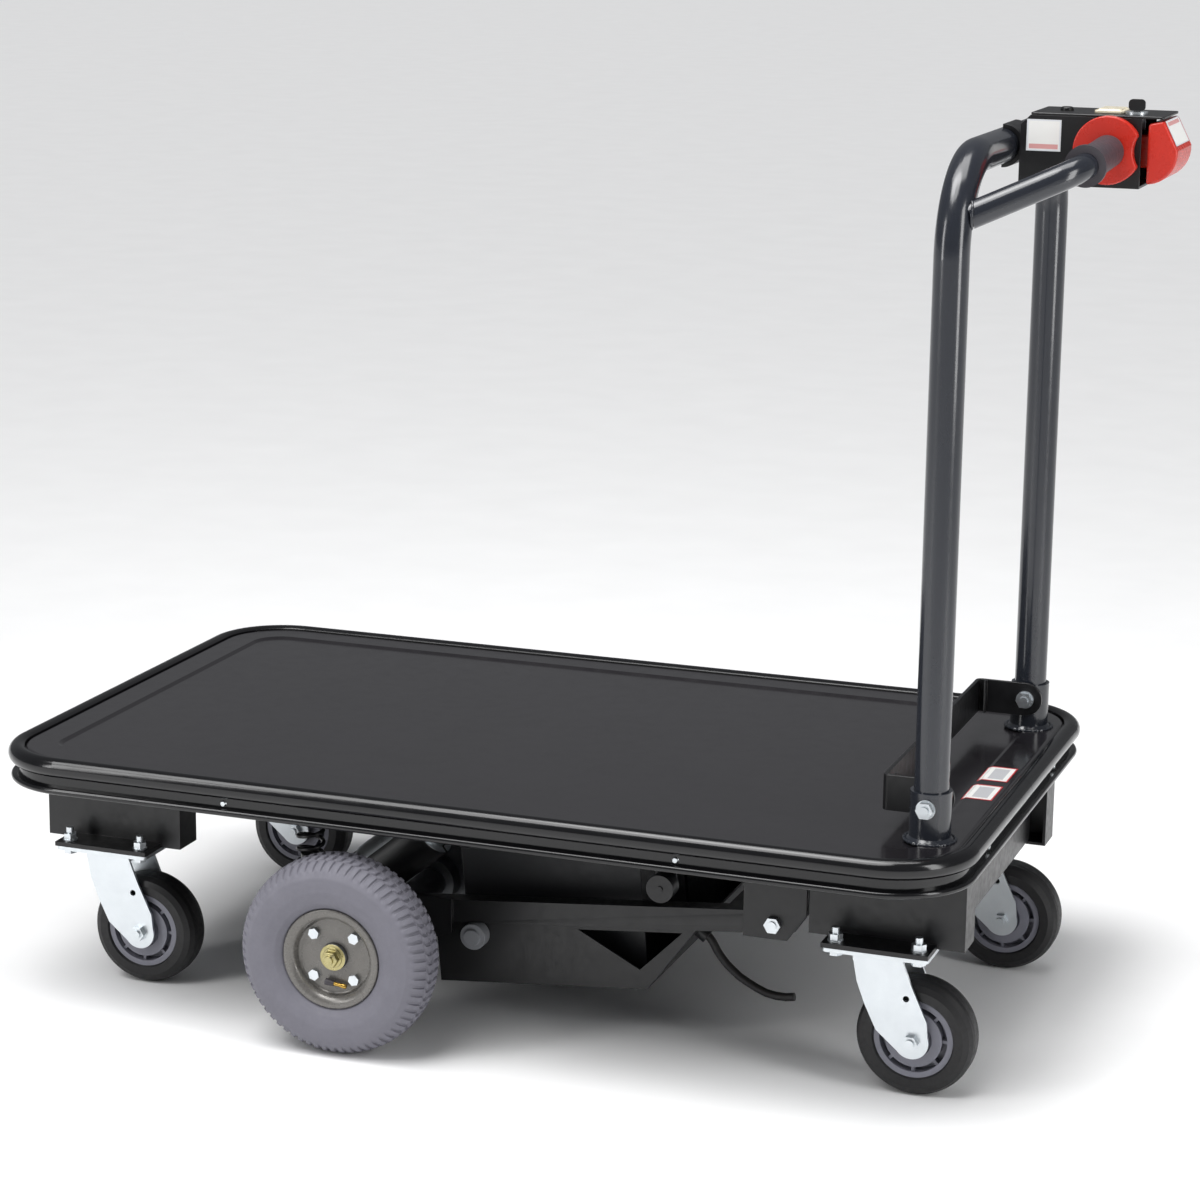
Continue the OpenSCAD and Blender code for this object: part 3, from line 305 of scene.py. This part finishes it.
def label_film(name, edge_colour, panel_colour, panel_low, panel_high):
    """Film with a coloured edge, and one panel between two corners, in shares of its size."""
    material, tree, shader, _ = new_material(name)
    flat = add_node(tree, "UVMap")
    parts = add_node(tree, "SeparateXYZ", inputs={"Vector": flat.outputs["UV"]}).outputs
    masks = []
    for low, high in ((FILM_LOW, FILM_HIGH), (panel_low, panel_high)):
        inside = None
        for axis in range(2):
            for edge, test in ((low[axis], "GREATER_THAN"), (high[axis], "LESS_THAN")):
                check = add_node(tree, "Math", {"operation": test}, {0: parts[axis], 1: edge})
                if inside is None:
                    inside = check.outputs[0]
                else:
                    both = add_node(tree, "Math", {"operation": "MULTIPLY"},
                                    {0: inside, 1: check.outputs[0]})
                    inside = both.outputs[0]
        masks.append(inside)
    white = add_node(tree, "Mix", {"data_type": "RGBA"}, {
        0: masks[0], 6: linear(edge_colour), 7: linear("#e9e9e6")})
    panel = add_node(tree, "Mix", {"data_type": "RGBA"}, {
        0: masks[1], 6: white.outputs[2], 7: linear(panel_colour)})
    tree.links.new(panel.outputs[2], shader.inputs["Base Color"])
    shader.inputs["Roughness"].default_value = 0.32
    return material


red_edged = label_film("red_edged_film", "#b5202a", "#b9babd", (0.3, 0.14), (0.8, 0.86))
red_footed = label_film("red_footed_film", "#d6d9dd", "#d39a98", (0.08, 0.07), (0.92, 0.22))
print("label films ready")

# %% [markdown]
# ## Dress the CAD nodes
# Every CAD node names a material slot in the record. A plain table turns slots into finishes, so
# a node whose shape is already right only has its material changed.

# %% Slots to finishes
FINISHES = {
    "deck_paint": deck_enamel,
    "handle_paint": handle_enamel,
    "frame_paint": satin_black,
    "spring_steel": satin_black,
    "rim_paint": rim_enamel,
    "zinc": zinc_plate,
    "hub_steel": turned_steel,
    "motor_steel": zinc_plate,
    "cast_aluminium": cast_aluminium,
    "bumper_rubber": bumper_vinyl,
    "black_rubber": grip_rubber,
    "caster_rubber": black_rubber,
    "grey_tyre": grey_rubber,
    "wheel_core": nylon_core,
    "black_plastic": black_abs,
    "red_plastic": red_abs,
    "grey_plastic": grey_abs,
    "cream_plastic": cream_lens,
}
SLOTS = {row["node"]: row["material_slot"] for row in frame["record"]["subparts"]}
BODIES = {node: body for body, nodes in frame["record"]["behaviour"]["bodies"].items()
          for node in nodes}
for node, cad in frame["nodes"].items():
    for place in cad.material_slots:
        place.material = FINISHES[SLOTS[node]]
frame["nodes"]["batteries"].material_slots[0].material = battery_case
print("dressed", len(SLOTS), "nodes")


# %% [markdown]
# ## Building pieces
# A piece is a mesh with a finish that rides on a body. Faces that meet at a shallow angle are
# shaded as one smooth surface, and the rest keep a crease, as a moulder or a press would leave.

# %% Make a piece
def add_piece(name, mesh, body, slot, material=None, crease=35):
    """Links a mesh as a piece: shaded, finished and riding on body."""
    mesh.shade_smooth()
    mesh.set_sharp_from_angle(angle=math.radians(crease))
    piece = bpy.data.objects.new(name, mesh)
    piece.data.materials.append(material or FINISHES[slot])
    scene.collection.objects.link(piece)
    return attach(piece, body)


def mesh_from(name, points, faces):
    """A mesh from lists of points and faces, with its normals facing out."""
    mesh = bpy.data.meshes.new(name)
    mesh.from_pydata(points, [], faces)
    work = bmesh.new()
    work.from_mesh(mesh)
    bmesh.ops.recalc_face_normals(work, faces=work.faces)
    work.to_mesh(mesh)
    work.free()
    return mesh


def ring_faces(rows, columns, close_rows=False, close_columns=True):
    """Quads between the points of a grid: rows of columns, closed round either way."""
    row_count = rows if close_rows else rows - 1
    column_count = columns if close_columns else columns - 1
    return [(i * columns + j, i * columns + (j + 1) % columns,
             (i + 1) % rows * columns + (j + 1) % columns, (i + 1) % rows * columns + j)
            for i in range(row_count) for j in range(column_count)]


print("mesh helpers ready")

# %% [markdown]
# ## The tail hose
# A stiff black rubber hose leaves its gland on the battery tray and hangs in one open sweep to a
# plainly cut end. A curve with a round section is the natural way to draw it.

# %% Hose
HOSE_WIDTH = 11 * MM
HOSE_Y = -0.150
SLIM = 0.98  # keeps a drawn hose or lead just inside its CAD solid
HOSE_ROUTE = [(0.272, 0.131), (0.275, 0.128), (0.279, 0.123), (0.282, 0.118), (0.286, 0.111),
              (0.292, 0.103), (0.299, 0.095), (0.307, 0.088), (0.317, 0.080), (0.328, 0.074),
              (0.340, 0.068), (0.353, 0.063), (0.366, 0.061), (0.379, 0.061), (0.391, 0.063)]
hose_points = [Vector((MIDDLE + x, HOSE_Y, z)) for x, z in HOSE_ROUTE]


def curve_piece(name, points, width, body, material):
    """A round bar, wire or hose along a smooth line through points."""
    line = bpy.data.curves.new(name, "CURVE")
    line.dimensions = "3D"
    line.bevel_depth = width / 2
    line.bevel_resolution = 5
    line.use_fill_caps = True
    spline = line.splines.new("POLY")
    spline.points.add(len(points) - 1)
    for target, point in zip(spline.points, points):
        target.co = (*point, 1)
    spline.use_smooth = True
    piece = bpy.data.objects.new(name, line)
    line.materials.append(material)
    scene.collection.objects.link(piece)
    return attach(piece, body)


hose = curve_piece("tail_hose_looks", hose_points, HOSE_WIDTH * SLIM, "drive_unit",
                   hose_rubber)
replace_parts(hose, "tail_hose")


# %% [markdown]
# ## Edges that catch the light
# Nothing pressed, cut or moulded has a perfectly sharp edge, and the eye reads the thin highlight
# on it as solidity. A rounded copy stands in for each plain CAD piece: its flat faces are joined,
# then a narrow bevel rounds every corner sharper than 30 degrees.

# %% Rounded copies
def rounded_copy(node, width_mm, steps=2, material=None):
    """A copy of a CAD node with its sharp edges rounded, in place of the node."""
    work = bmesh.new()
    work.from_mesh(frame["nodes"][node].data)
    bmesh.ops.remove_doubles(work, verts=work.verts, dist=1e-6)
    bmesh.ops.dissolve_limit(work, angle_limit=math.radians(1), verts=work.verts, edges=work.edges)
    mesh = bpy.data.meshes.new(node + "_looks")
    work.to_mesh(mesh)
    work.free()
    piece = add_piece(node + "_looks", mesh, BODIES[node], SLOTS[node], material)
    bevel = piece.modifiers.new("edge", "BEVEL")
    bevel.width = width_mm * MM
    bevel.segments = steps
    bevel.limit_method = "ANGLE"
    bevel.angle_limit = math.radians(30)
    bevel.use_clamp_overlap = True
    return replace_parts(piece, node)


CORNERS = ("front_left", "front_right", "rear_left", "rear_right")
EDGES = {
    "caster_risers": 1.2, "end_beams": 1.5, "load_stop": 1.0, "caster_plates": 0.8,
    "head_housing": 1.6, "head_cover": 0.8, "belly_switch": 3.0, "battery_gauge": 0.8,
    "throttle_levers": 2.2, "hanger_brackets": 0.8, "subframe": 1.2, "battery_tray": 0.8,
    "controller": 1.5, "key": 0.8, "horn_button": 0.8, "breaker": 1.0,
}
WIDE_EDGE = 1.5
for node, width in EDGES.items():
    rounded_copy(node, width, steps=3 if width > WIDE_EDGE else 2)
rounded_copy("batteries", 3.0, steps=3, material=battery_case)
for corner in CORNERS:
    rounded_copy("fork_" + corner, 1.2)
print("rounded", len(EDGES) + 1 + len(CORNERS), "pieces")

# %% [markdown]
# ## Drive tyres
# A small pneumatic tyre has shoulder lugs cut nearly across it, a zigzag rib in the middle, and
# plain sidewalls with a few raised rings. It is one section carried round the axle, sunk where a
# groove runs, and four copies of the section make each lug: two for its top, two for its groove.

# %% Tyre
TYRE_R, TYRE_HALF, BEAD_R = 130 * MM, 41.0 * MM, 50.2 * MM
BEAD = ((19 * MM, 0.0526), (26 * MM, 0.060), (27 * MM, 0.0655))  # tucked behind the rim's flare
SQUARENESS = 0.8  # 1 is a round section; less is squarer
ARC_END, ARC_STEP = 132, 4
LUGS = 66
LUG_SHARES = (0.0, 0.1, 0.62, 0.72)  # where a lug's four sections stand, in shares of its pitch
GROOVE_SECTIONS = (0, 3)
LUG_LEAN = 0.5
RIB_EDGE, RIB_GROOVE_END, CENTRE_SLIT = 0.36, 0.46, 0.07  # shares of the tyre's half-width
GROOVE = 2.6 * MM
SHOULDER, SHOULDER_FADE = 0.112, 0.009
RINGS = (0.0745, 0.0885, 0.1085)
RING_HALF, RING_RISE = 0.0012, 0.7 * MM


def tyre_section():
    """Half-width and radius of the tyre's outer skin, from one bead to the other."""
    mid = (TYRE_R + BEAD_R + 10 * MM) / 2
    rise = TYRE_R - mid
    skin = [(-wide, high) for wide, high in BEAD]
    for angle in range(-ARC_END, ARC_END + 1, ARC_STEP):
        a = math.radians(angle)
        wide = math.copysign(abs(math.sin(a)) ** SQUARENESS, math.sin(a)) * TYRE_HALF
        high = mid + math.copysign(abs(math.cos(a)) ** SQUARENESS, math.cos(a)) * rise
        if any(abs(high - ring) < RING_HALF for ring in RINGS):
            wide += math.copysign(RING_RISE, wide)
        skin.append((wide, high))
    return skin + list(reversed(BEAD))


def tread_depth(wide, high, section):
    """How far the tread sinks at this place on one of a lug's four sections."""
    across = abs(wide) / TYRE_HALF
    if high < SHOULDER:
        return 0.0
    if RIB_EDGE < across < RIB_GROOVE_END:
        return GROOVE
    if across < CENTRE_SLIT:
        return GROOVE * 0.7
    if section in GROOVE_SECTIONS:
        return GROOVE * min(1.0, (high - SHOULDER) / SHOULDER_FADE)
    return 0.0


def tyre_mesh(name):
    """The tyre about the origin, axle along Y, with lugs that lean and a rib half a lug out."""
    skin = tyre_section()
    points = []
    for lug in range(LUGS):
        for section, share in enumerate(LUG_SHARES):
            for wide, high in skin:
                lean = LUG_LEAN * abs(wide) / TYRE_HALF
                middle = 0.5 if abs(wide) < RIB_EDGE * TYRE_HALF else 0.0
                pitch = lug + share + lean + middle * math.copysign(1, wide)
                angle = math.tau * pitch / LUGS
                reach = high - tread_depth(wide, high, section)
                points.append((reach * math.cos(angle), wide, reach * math.sin(angle)))
    rows = LUGS * len(LUG_SHARES)
    faces = ring_faces(rows, len(skin), close_rows=True, close_columns=False)
    return mesh_from(name, points, faces)


def wheel_middle(side):
    """The middle of one drive wheel, taken from its tyre."""
    return sum(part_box("drive_tyre_" + side), Vector()) / 2


for side in ("left", "right"):
    node = "drive_tyre_" + side
    mesh = tyre_mesh(node + "_looks")
    mesh.transform(Matrix.Translation(wheel_middle(side)))
    tyre = add_piece(node + "_looks", mesh, BODIES[node], SLOTS[node], crease=40)
    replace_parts(tyre, node)
print("tyre points", len(tyre.data.vertices))

# %% [markdown]
# ## Drive rims
# Each rim is rolled steel: a lip that holds the tyre, a deep well and a flat disc bolted to the
# hub. It is turned from one section whose corners are arcs, because a sheet that is spun over a
# former has no sharp corner. Bolts and hub come from the CAD, and the nut is yellow zinc.

# %% Rim
LIP_R, LIP_ROLL, WELL_R, BARREL_R, RIM_HALF = 66.0, 2.2, 50.6, 52.4, 31.0
DISC_OUT, SHEET, HUB_HOLE, FILLET = 16.0, 3.0, 18.0, 3.6


def arc(r0, y0, radius, start, end, count=7):
    """Points on an arc, in degrees: 0 is away from the axle and 90 is along it."""
    angles = [math.radians(start + (end - start) * i / count) for i in range(count + 1)]
    return [(r0 + radius * math.cos(a), y0 + radius * math.sin(a)) for a in angles]


def rim_profile():
    """The rim's closed section in millimetres: radius, and distance from the wheel's middle."""
    roll_r, roll_y = LIP_R - LIP_ROLL, RIM_HALF - LIP_ROLL
    flare = roll_r - LIP_ROLL - WELL_R
    flare_y = RIM_HALF - flare
    outside = arc(roll_r, roll_y, LIP_ROLL, 0, 90) + arc(WELL_R + flare, flare_y, flare, 90, 180)
    dish = arc(WELL_R - FILLET, DISC_OUT + FILLET, FILLET, 0, -90)
    disc = [(HUB_HOLE, DISC_OUT), (HUB_HOLE, DISC_OUT - SHEET), (WELL_R - FILLET, DISC_OUT - SHEET)]
    inboard = [(r, -y) for r, y in reversed(outside)]
    barrel = [(roll_r, -roll_y), (BARREL_R, -flare_y), (BARREL_R, flare_y), (roll_r, roll_y)]
    return outside + dish + disc + inboard + barrel


def lathe(name, profile, steps=96, axis=1):
    """Turns (radius, along) points in millimetres round an axis: 1 is Y and 2 is Z."""
    points = []
    for i in range(steps):
        turn = math.tau * i / steps
        for radius, along in profile:
            round_part = [radius * math.cos(turn), radius * math.sin(turn)]
            round_part.insert(axis, along)
            points.append(Vector(round_part) * MM)
    return mesh_from(name, points, ring_faces(steps, len(profile), close_rows=True))


for side, facing in (("left", -1), ("right", 1)):
    node = "drive_rim_" + side
    profile = [(r, y * facing) for r, y in rim_profile()]
    mesh = lathe(node + "_looks", profile)
    mesh.transform(Matrix.Translation(wheel_middle(side)))
    rim = add_piece(node + "_looks", mesh, BODIES[node], SLOTS[node])
    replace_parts(rim, node)
print("rim section has", len(rim_profile()), "points")


# %% [markdown]
# ## Hub nuts, motor end and valves
# Some CAD pieces are one solid of two finishes. Their rounded copies take a second finish on the
# faces that pass a test: the nut on each hub, and the bare end of the motor. The valve stem is a
# rubber foot with a brass tip, turned in one go and laid in the dish.

# %% Two-finish copies
NUT_START, NUT_R = 0.022, 0.0155
BARE_FROM = 0.62  # share of the motor's height where its black paint ends
FOOT = [(0.1, 0), (4.4, 0), (4.2, 4), (3.6, 9), (3.4, 12)]
TIP = [(2.6, 12), (2.6, 22), (3.1, 22.5), (3.1, 28), (2.4, 29), (0.1, 29)]
VALVE_X, VALVE_OUT, VALVE_Z = -0.010, 0.0225, -0.033
VALVE_TILT = math.radians(97)
BRASS_FROM = 0.0025


def repaint(piece, material, test):
    """Gives a second finish to every face whose middle passes the test."""
    piece.data.materials.append(material)
    for face in piece.data.polygons:
        if test(face.center):
            face.material_index = 1


for side in ("left", "right"):
    middle = wheel_middle(side)
    hub = rounded_copy("drive_hub_" + side, 0.5)
    repaint(hub, yellow_zinc, lambda p: abs(p.y) - abs(middle.y) > NUT_START and
            math.hypot(p.x - middle.x, p.z - middle.z) < NUT_R)

motor_low, motor_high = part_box("drive_motor")
motor = rounded_copy("drive_motor", 1.5, material=satin_black)
motor_length = motor_high.z - motor_low.z
repaint(motor, zinc_plate, lambda p: p.z > motor_low.z + BARE_FROM * motor_length)

for side, facing in (("left", -1), ("right", 1)):
    middle = wheel_middle(side)
    stem_mesh = lathe("valve_stem_" + side, FOOT + TIP, steps=20, axis=2)
    lay = Matrix.Translation(middle + Vector((VALVE_X, facing * VALVE_OUT, VALVE_Z)))
    stem_mesh.transform(lay @ Matrix.Rotation(VALVE_TILT, 4, "Y"))
    stem = add_piece("valve_stem_" + side, stem_mesh, "drive_wheel_" + side, "black_rubber")
    repaint(stem, brass, lambda p: p.x > middle.x + BRASS_FROM)
print("nut, motor and valve finished")


# %% [markdown]
# ## Coil springs
# Two black coil springs sit between the hanger caps and the drive unit. Each is a wire swept
# along a helix and wound close over a little more than half a turn at each end. The piece stays
# where it is built and does not follow either body.

# %% Springs
spring_low, spring_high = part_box("coil_springs")
WIRE_R = 3.0 * MM
COIL_R = (spring_high.x - spring_low.x) / 2 - WIRE_R
TURNS, WIRE_SIDES, TURN_STEPS = 6.5, 10, 28
CLOSE = 0.09  # share of the wire, at each end, that is wound close
CLOSE_RISE = 1.2 * WIRE_R


def spring_height(share):
    """Height along the spring: close-wound at both ends, open in between."""
    free = spring_high.z - spring_low.z - 2 * WIRE_R
    if share < CLOSE:
        return CLOSE_RISE * share / CLOSE
    if share > 1 - CLOSE:
        return free - CLOSE_RISE * (1 - share) / CLOSE
    return CLOSE_RISE + (free - 2 * CLOSE_RISE) * (share - CLOSE) / (1 - 2 * CLOSE)


def spring_points(centre_x, centre_y):
    """Rings of points round a wire wound into one spring."""
    steps = round(TURNS * TURN_STEPS)
    points = []
    for i in range(steps + 1):
        turn = math.tau * TURNS * i / steps
        outward = Vector((math.cos(turn), math.sin(turn), 0))
        middle = Vector((centre_x, centre_y, spring_low.z + WIRE_R)) + outward * COIL_R
        middle.z += spring_height(i / steps)
        for j in range(WIRE_SIDES):
            tilt = math.tau * j / WIRE_SIDES
            points.append(middle + outward * WIRE_R * math.cos(tilt)
                          + Vector((0, 0, WIRE_R * math.sin(tilt))))
    return points


spring_x = (spring_low.x + spring_high.x) / 2
side_y = spring_high.y - COIL_R - WIRE_R
left_points = spring_points(spring_x, -side_y)
wire_points = len(left_points)
faces = ring_faces(wire_points // WIRE_SIDES, WIRE_SIDES)
faces += [tuple(range(WIRE_SIDES)), tuple(range(wire_points - WIRE_SIDES, wire_points))]
faces += [tuple(i + wire_points for i in face) for face in faces]
both_points = left_points + spring_points(spring_x, side_y)
springs_mesh = mesh_from("coil_springs_looks", both_points, faces)
springs_mesh.shade_smooth()
springs = bpy.data.objects.new("coil_springs_looks", springs_mesh)
springs.data.materials.append(satin_black)
scene.collection.objects.link(springs)
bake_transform(springs)
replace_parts(springs, "coil_springs")
print("spring wire points", wire_points)


# %% [markdown]
# ## The charging lead
# A black lead runs from the controller to the charging socket under the frame. It is drawn as
# one smooth round cable through the same places that the CAD uses, in place of its faceted
# solid. The route is in millimetres from the deck's middle, and its height is from the frame.

# %% Lead
LEAD_WIDTH = 9 * MM
lead_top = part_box("deck_frame")[0].z - 14 * MM
LEAD_ROUTE = [(80, -60, 0), (110, -60, -2), (140, -66, -4), (170, -82, -5), (197, -110, -6),
              (217, -140, -6), (229, -170, -7), (235, -188, -12), (237, -198, -22),
              (237, -201, -32), (237, -204, -41), (237, -208, -47), (237, -213, -50),
              (237, -217, -50)]
lead_points = [Vector((MIDDLE + x * MM, y * MM, lead_top + z * MM)) for x, y, z in LEAD_ROUTE]
lead = curve_piece("cable_harness_looks", lead_points, LEAD_WIDTH * SLIM, "chassis",
                   hose_rubber)
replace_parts(lead, "cable_harness")
print("lead points", len(lead_points))


# %% [markdown]
# ## Welds
# The sockets are welded to the deck and the grip arms to the handle. A weld bead is a rope of
# metal with a ripple every few millimetres, one for each pool the welder laid. Where a round arm
# meets a round tube, the bead follows the line where the two skins cross.

# %% Weld beads
BEAD_SIDES, RIPPLE_STEPS, RIPPLE = 8, 4, 0.22


def weld_bead(name, path, bead, body, slot):
    """A closed rope along path, swelling at each ripple."""
    count = len(path)
    centre = sum(path, Vector()) / count
    points = []
    for i, point in enumerate(path):
        ahead = (path[(i + 1) % count] - path[i - 1]).normalized()
        outward = (point - centre).normalized()
        outward = (outward - ahead * outward.dot(ahead)).normalized()
        across = ahead.cross(outward)
        width = bead * (1 + RIPPLE * math.sin(i * math.tau / RIPPLE_STEPS))
        for j in range(BEAD_SIDES):
            turn = math.tau * j / BEAD_SIDES
            points.append(point + (outward * math.cos(turn) + across * math.sin(turn)) * width)
    mesh = mesh_from(name, points, ring_faces(count, BEAD_SIDES, close_rows=True))
    return add_piece(name, mesh, body, slot, crease=80)


socket_low, socket_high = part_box("handle_sockets")
HANDLE_X = (socket_low.x + socket_high.x) / 2
SOCKET_R = (socket_high.x - socket_low.x) / 2
HANDLE_Y = socket_high.y - SOCKET_R
TUBE_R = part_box("handle_frame")[1].y - HANDLE_Y
ARM_R = 16 * MM
ARM_ROOT = Vector((HANDLE_X, 0.267, 1.0822))
ARM_CORNER = Vector((HANDLE_X + 0.1319, 0.215, 1.143))
SOCKET_BEAD, ARM_BEAD = 2.2 * MM, 1.7 * MM
SOCKET_PROUD, ARM_PROUD = 0.5 * MM, 0.3 * MM
SOCKET_STEPS, ARM_STEPS = 96, 48


def socket_seam(sign):
    """The ring where one socket meets the deck."""
    base = Vector((HANDLE_X, sign * HANDLE_Y, deck_high.z + SOCKET_PROUD))
    turns = [math.tau * i / SOCKET_STEPS for i in range(SOCKET_STEPS)]
    return [base + Vector((math.cos(turn), math.sin(turn), 0)) * (SOCKET_R + SOCKET_PROUD)
            for turn in turns]


def arm_seam(sign):
    """The line where one round arm's skin crosses the skin of the upright tube."""
    flip = Vector((1, sign, 1))
    run = (ARM_CORNER - ARM_ROOT).normalized() * flip
    root = ARM_ROOT * flip
    across = run.cross(Vector((0, 0, 1))).normalized()
    over = across.cross(run)
    seam = []
    for i in range(ARM_STEPS):
        turn = math.tau * i / ARM_STEPS
        start = root + (across * math.cos(turn) + over * math.sin(turn)) * ARM_R
        px, py = start.x - HANDLE_X, start.y - sign * HANDLE_Y
        a = run.x ** 2 + run.y ** 2
        b = 2 * (px * run.x + py * run.y)
        c = px ** 2 + py ** 2 - (TUBE_R + ARM_PROUD) ** 2
        seam.append(start + run * ((-b + math.sqrt(max(b * b - 4 * a * c, 0))) / (2 * a)))
    return seam


for side, sign in (("left", -1), ("right", 1)):
    weld_bead("socket_weld_" + side, socket_seam(sign), SOCKET_BEAD, "chassis", "handle_paint")
    weld_bead("arm_weld_" + side, arm_seam(sign), ARM_BEAD, "chassis", "handle_paint")
print("tube radius", round(TUBE_R, 4), "socket radius", round(SOCKET_R, 4))


# %% [markdown]
# ## Labels
# Stickers are thin film pressed onto whatever is under them, so each is a small grid of points
# dropped onto the CAD surface along one direction, and lifted by the film's thickness.

# %% Stickers
FILM_LIFT = 0.25 * MM
FILM_CELLS = 12
DROP_FROM, DROP_REACH = 0.05, 0.2


def sticker_on(name, node, centre, across, along, towards, film):
    """A label of two edge vectors about centre, dropped onto a CAD node's skin."""
    skin = bmesh.new()
    skin.from_mesh(frame["nodes"][node].data)
    tree = BVHTree.FromBMesh(skin)
    towards = Vector(towards).normalized()
    points, flat = [], []
    for i in range(FILM_CELLS + 1):
        for j in range(FILM_CELLS + 1):
            u, v = i / FILM_CELLS, j / FILM_CELLS
            start = Vector(centre) + Vector(across) * (u - 0.5) + Vector(along) * (v - 0.5)
            hit, _, _, _ = tree.ray_cast(start - towards * DROP_FROM, towards, DROP_REACH)
            points.append((hit or start) - towards * FILM_LIFT)
            flat.append((u, v))
    skin.free()
    mesh = bpy.data.meshes.new(name)
    grid = ring_faces(FILM_CELLS + 1, FILM_CELLS + 1, close_columns=False)
    mesh.from_pydata(points, [], grid)
    layer = mesh.uv_layers.new(name="UVMap")
    for loop in mesh.loops:
        layer.data[loop.index].uv = flat[loop.vertex_index]
    return add_piece(name, mesh, BODIES[node], SLOTS[node], film)


DECK_LABEL, DECK_LABEL_X = (0.040, 0.066), MIDDLE + 0.604
HEAD_LABEL, HEAD_LABEL_X, HEAD_LABEL_Z = (0.042, 0.038), MIDDLE + 0.644, 1.167
for name, y in (("deck_label_left", -0.060), ("deck_label_right", 0.027)):
    sticker_on(name, "deck_pan", (DECK_LABEL_X, y, deck_high.z), (DECK_LABEL[0], 0, 0),
               (0, DECK_LABEL[1], 0), (0, 0, -1), red_edged)
head_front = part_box("head_housing")[0].y
sticker_on("head_label", "head_housing", (HEAD_LABEL_X, head_front, HEAD_LABEL_Z),
           (HEAD_LABEL[0], 0, 0), (0, 0, HEAD_LABEL[1]), (0, 1, 0), red_footed)
BELLY_ACROSS, BELLY_DOWN, BELLY_IN = (0, 0.086, 0), (0.013, 0, -0.030), (-0.92, 0, -0.39)
belly_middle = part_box("belly_switch")[1] - Vector((0.012, 0, 0.016))
belly_middle.y = 0
sticker_on("belly_label", "belly_switch", belly_middle, BELLY_ACROSS, BELLY_DOWN, BELLY_IN,
           red_footed)
print("labels on the deck, the head and the belly switch")
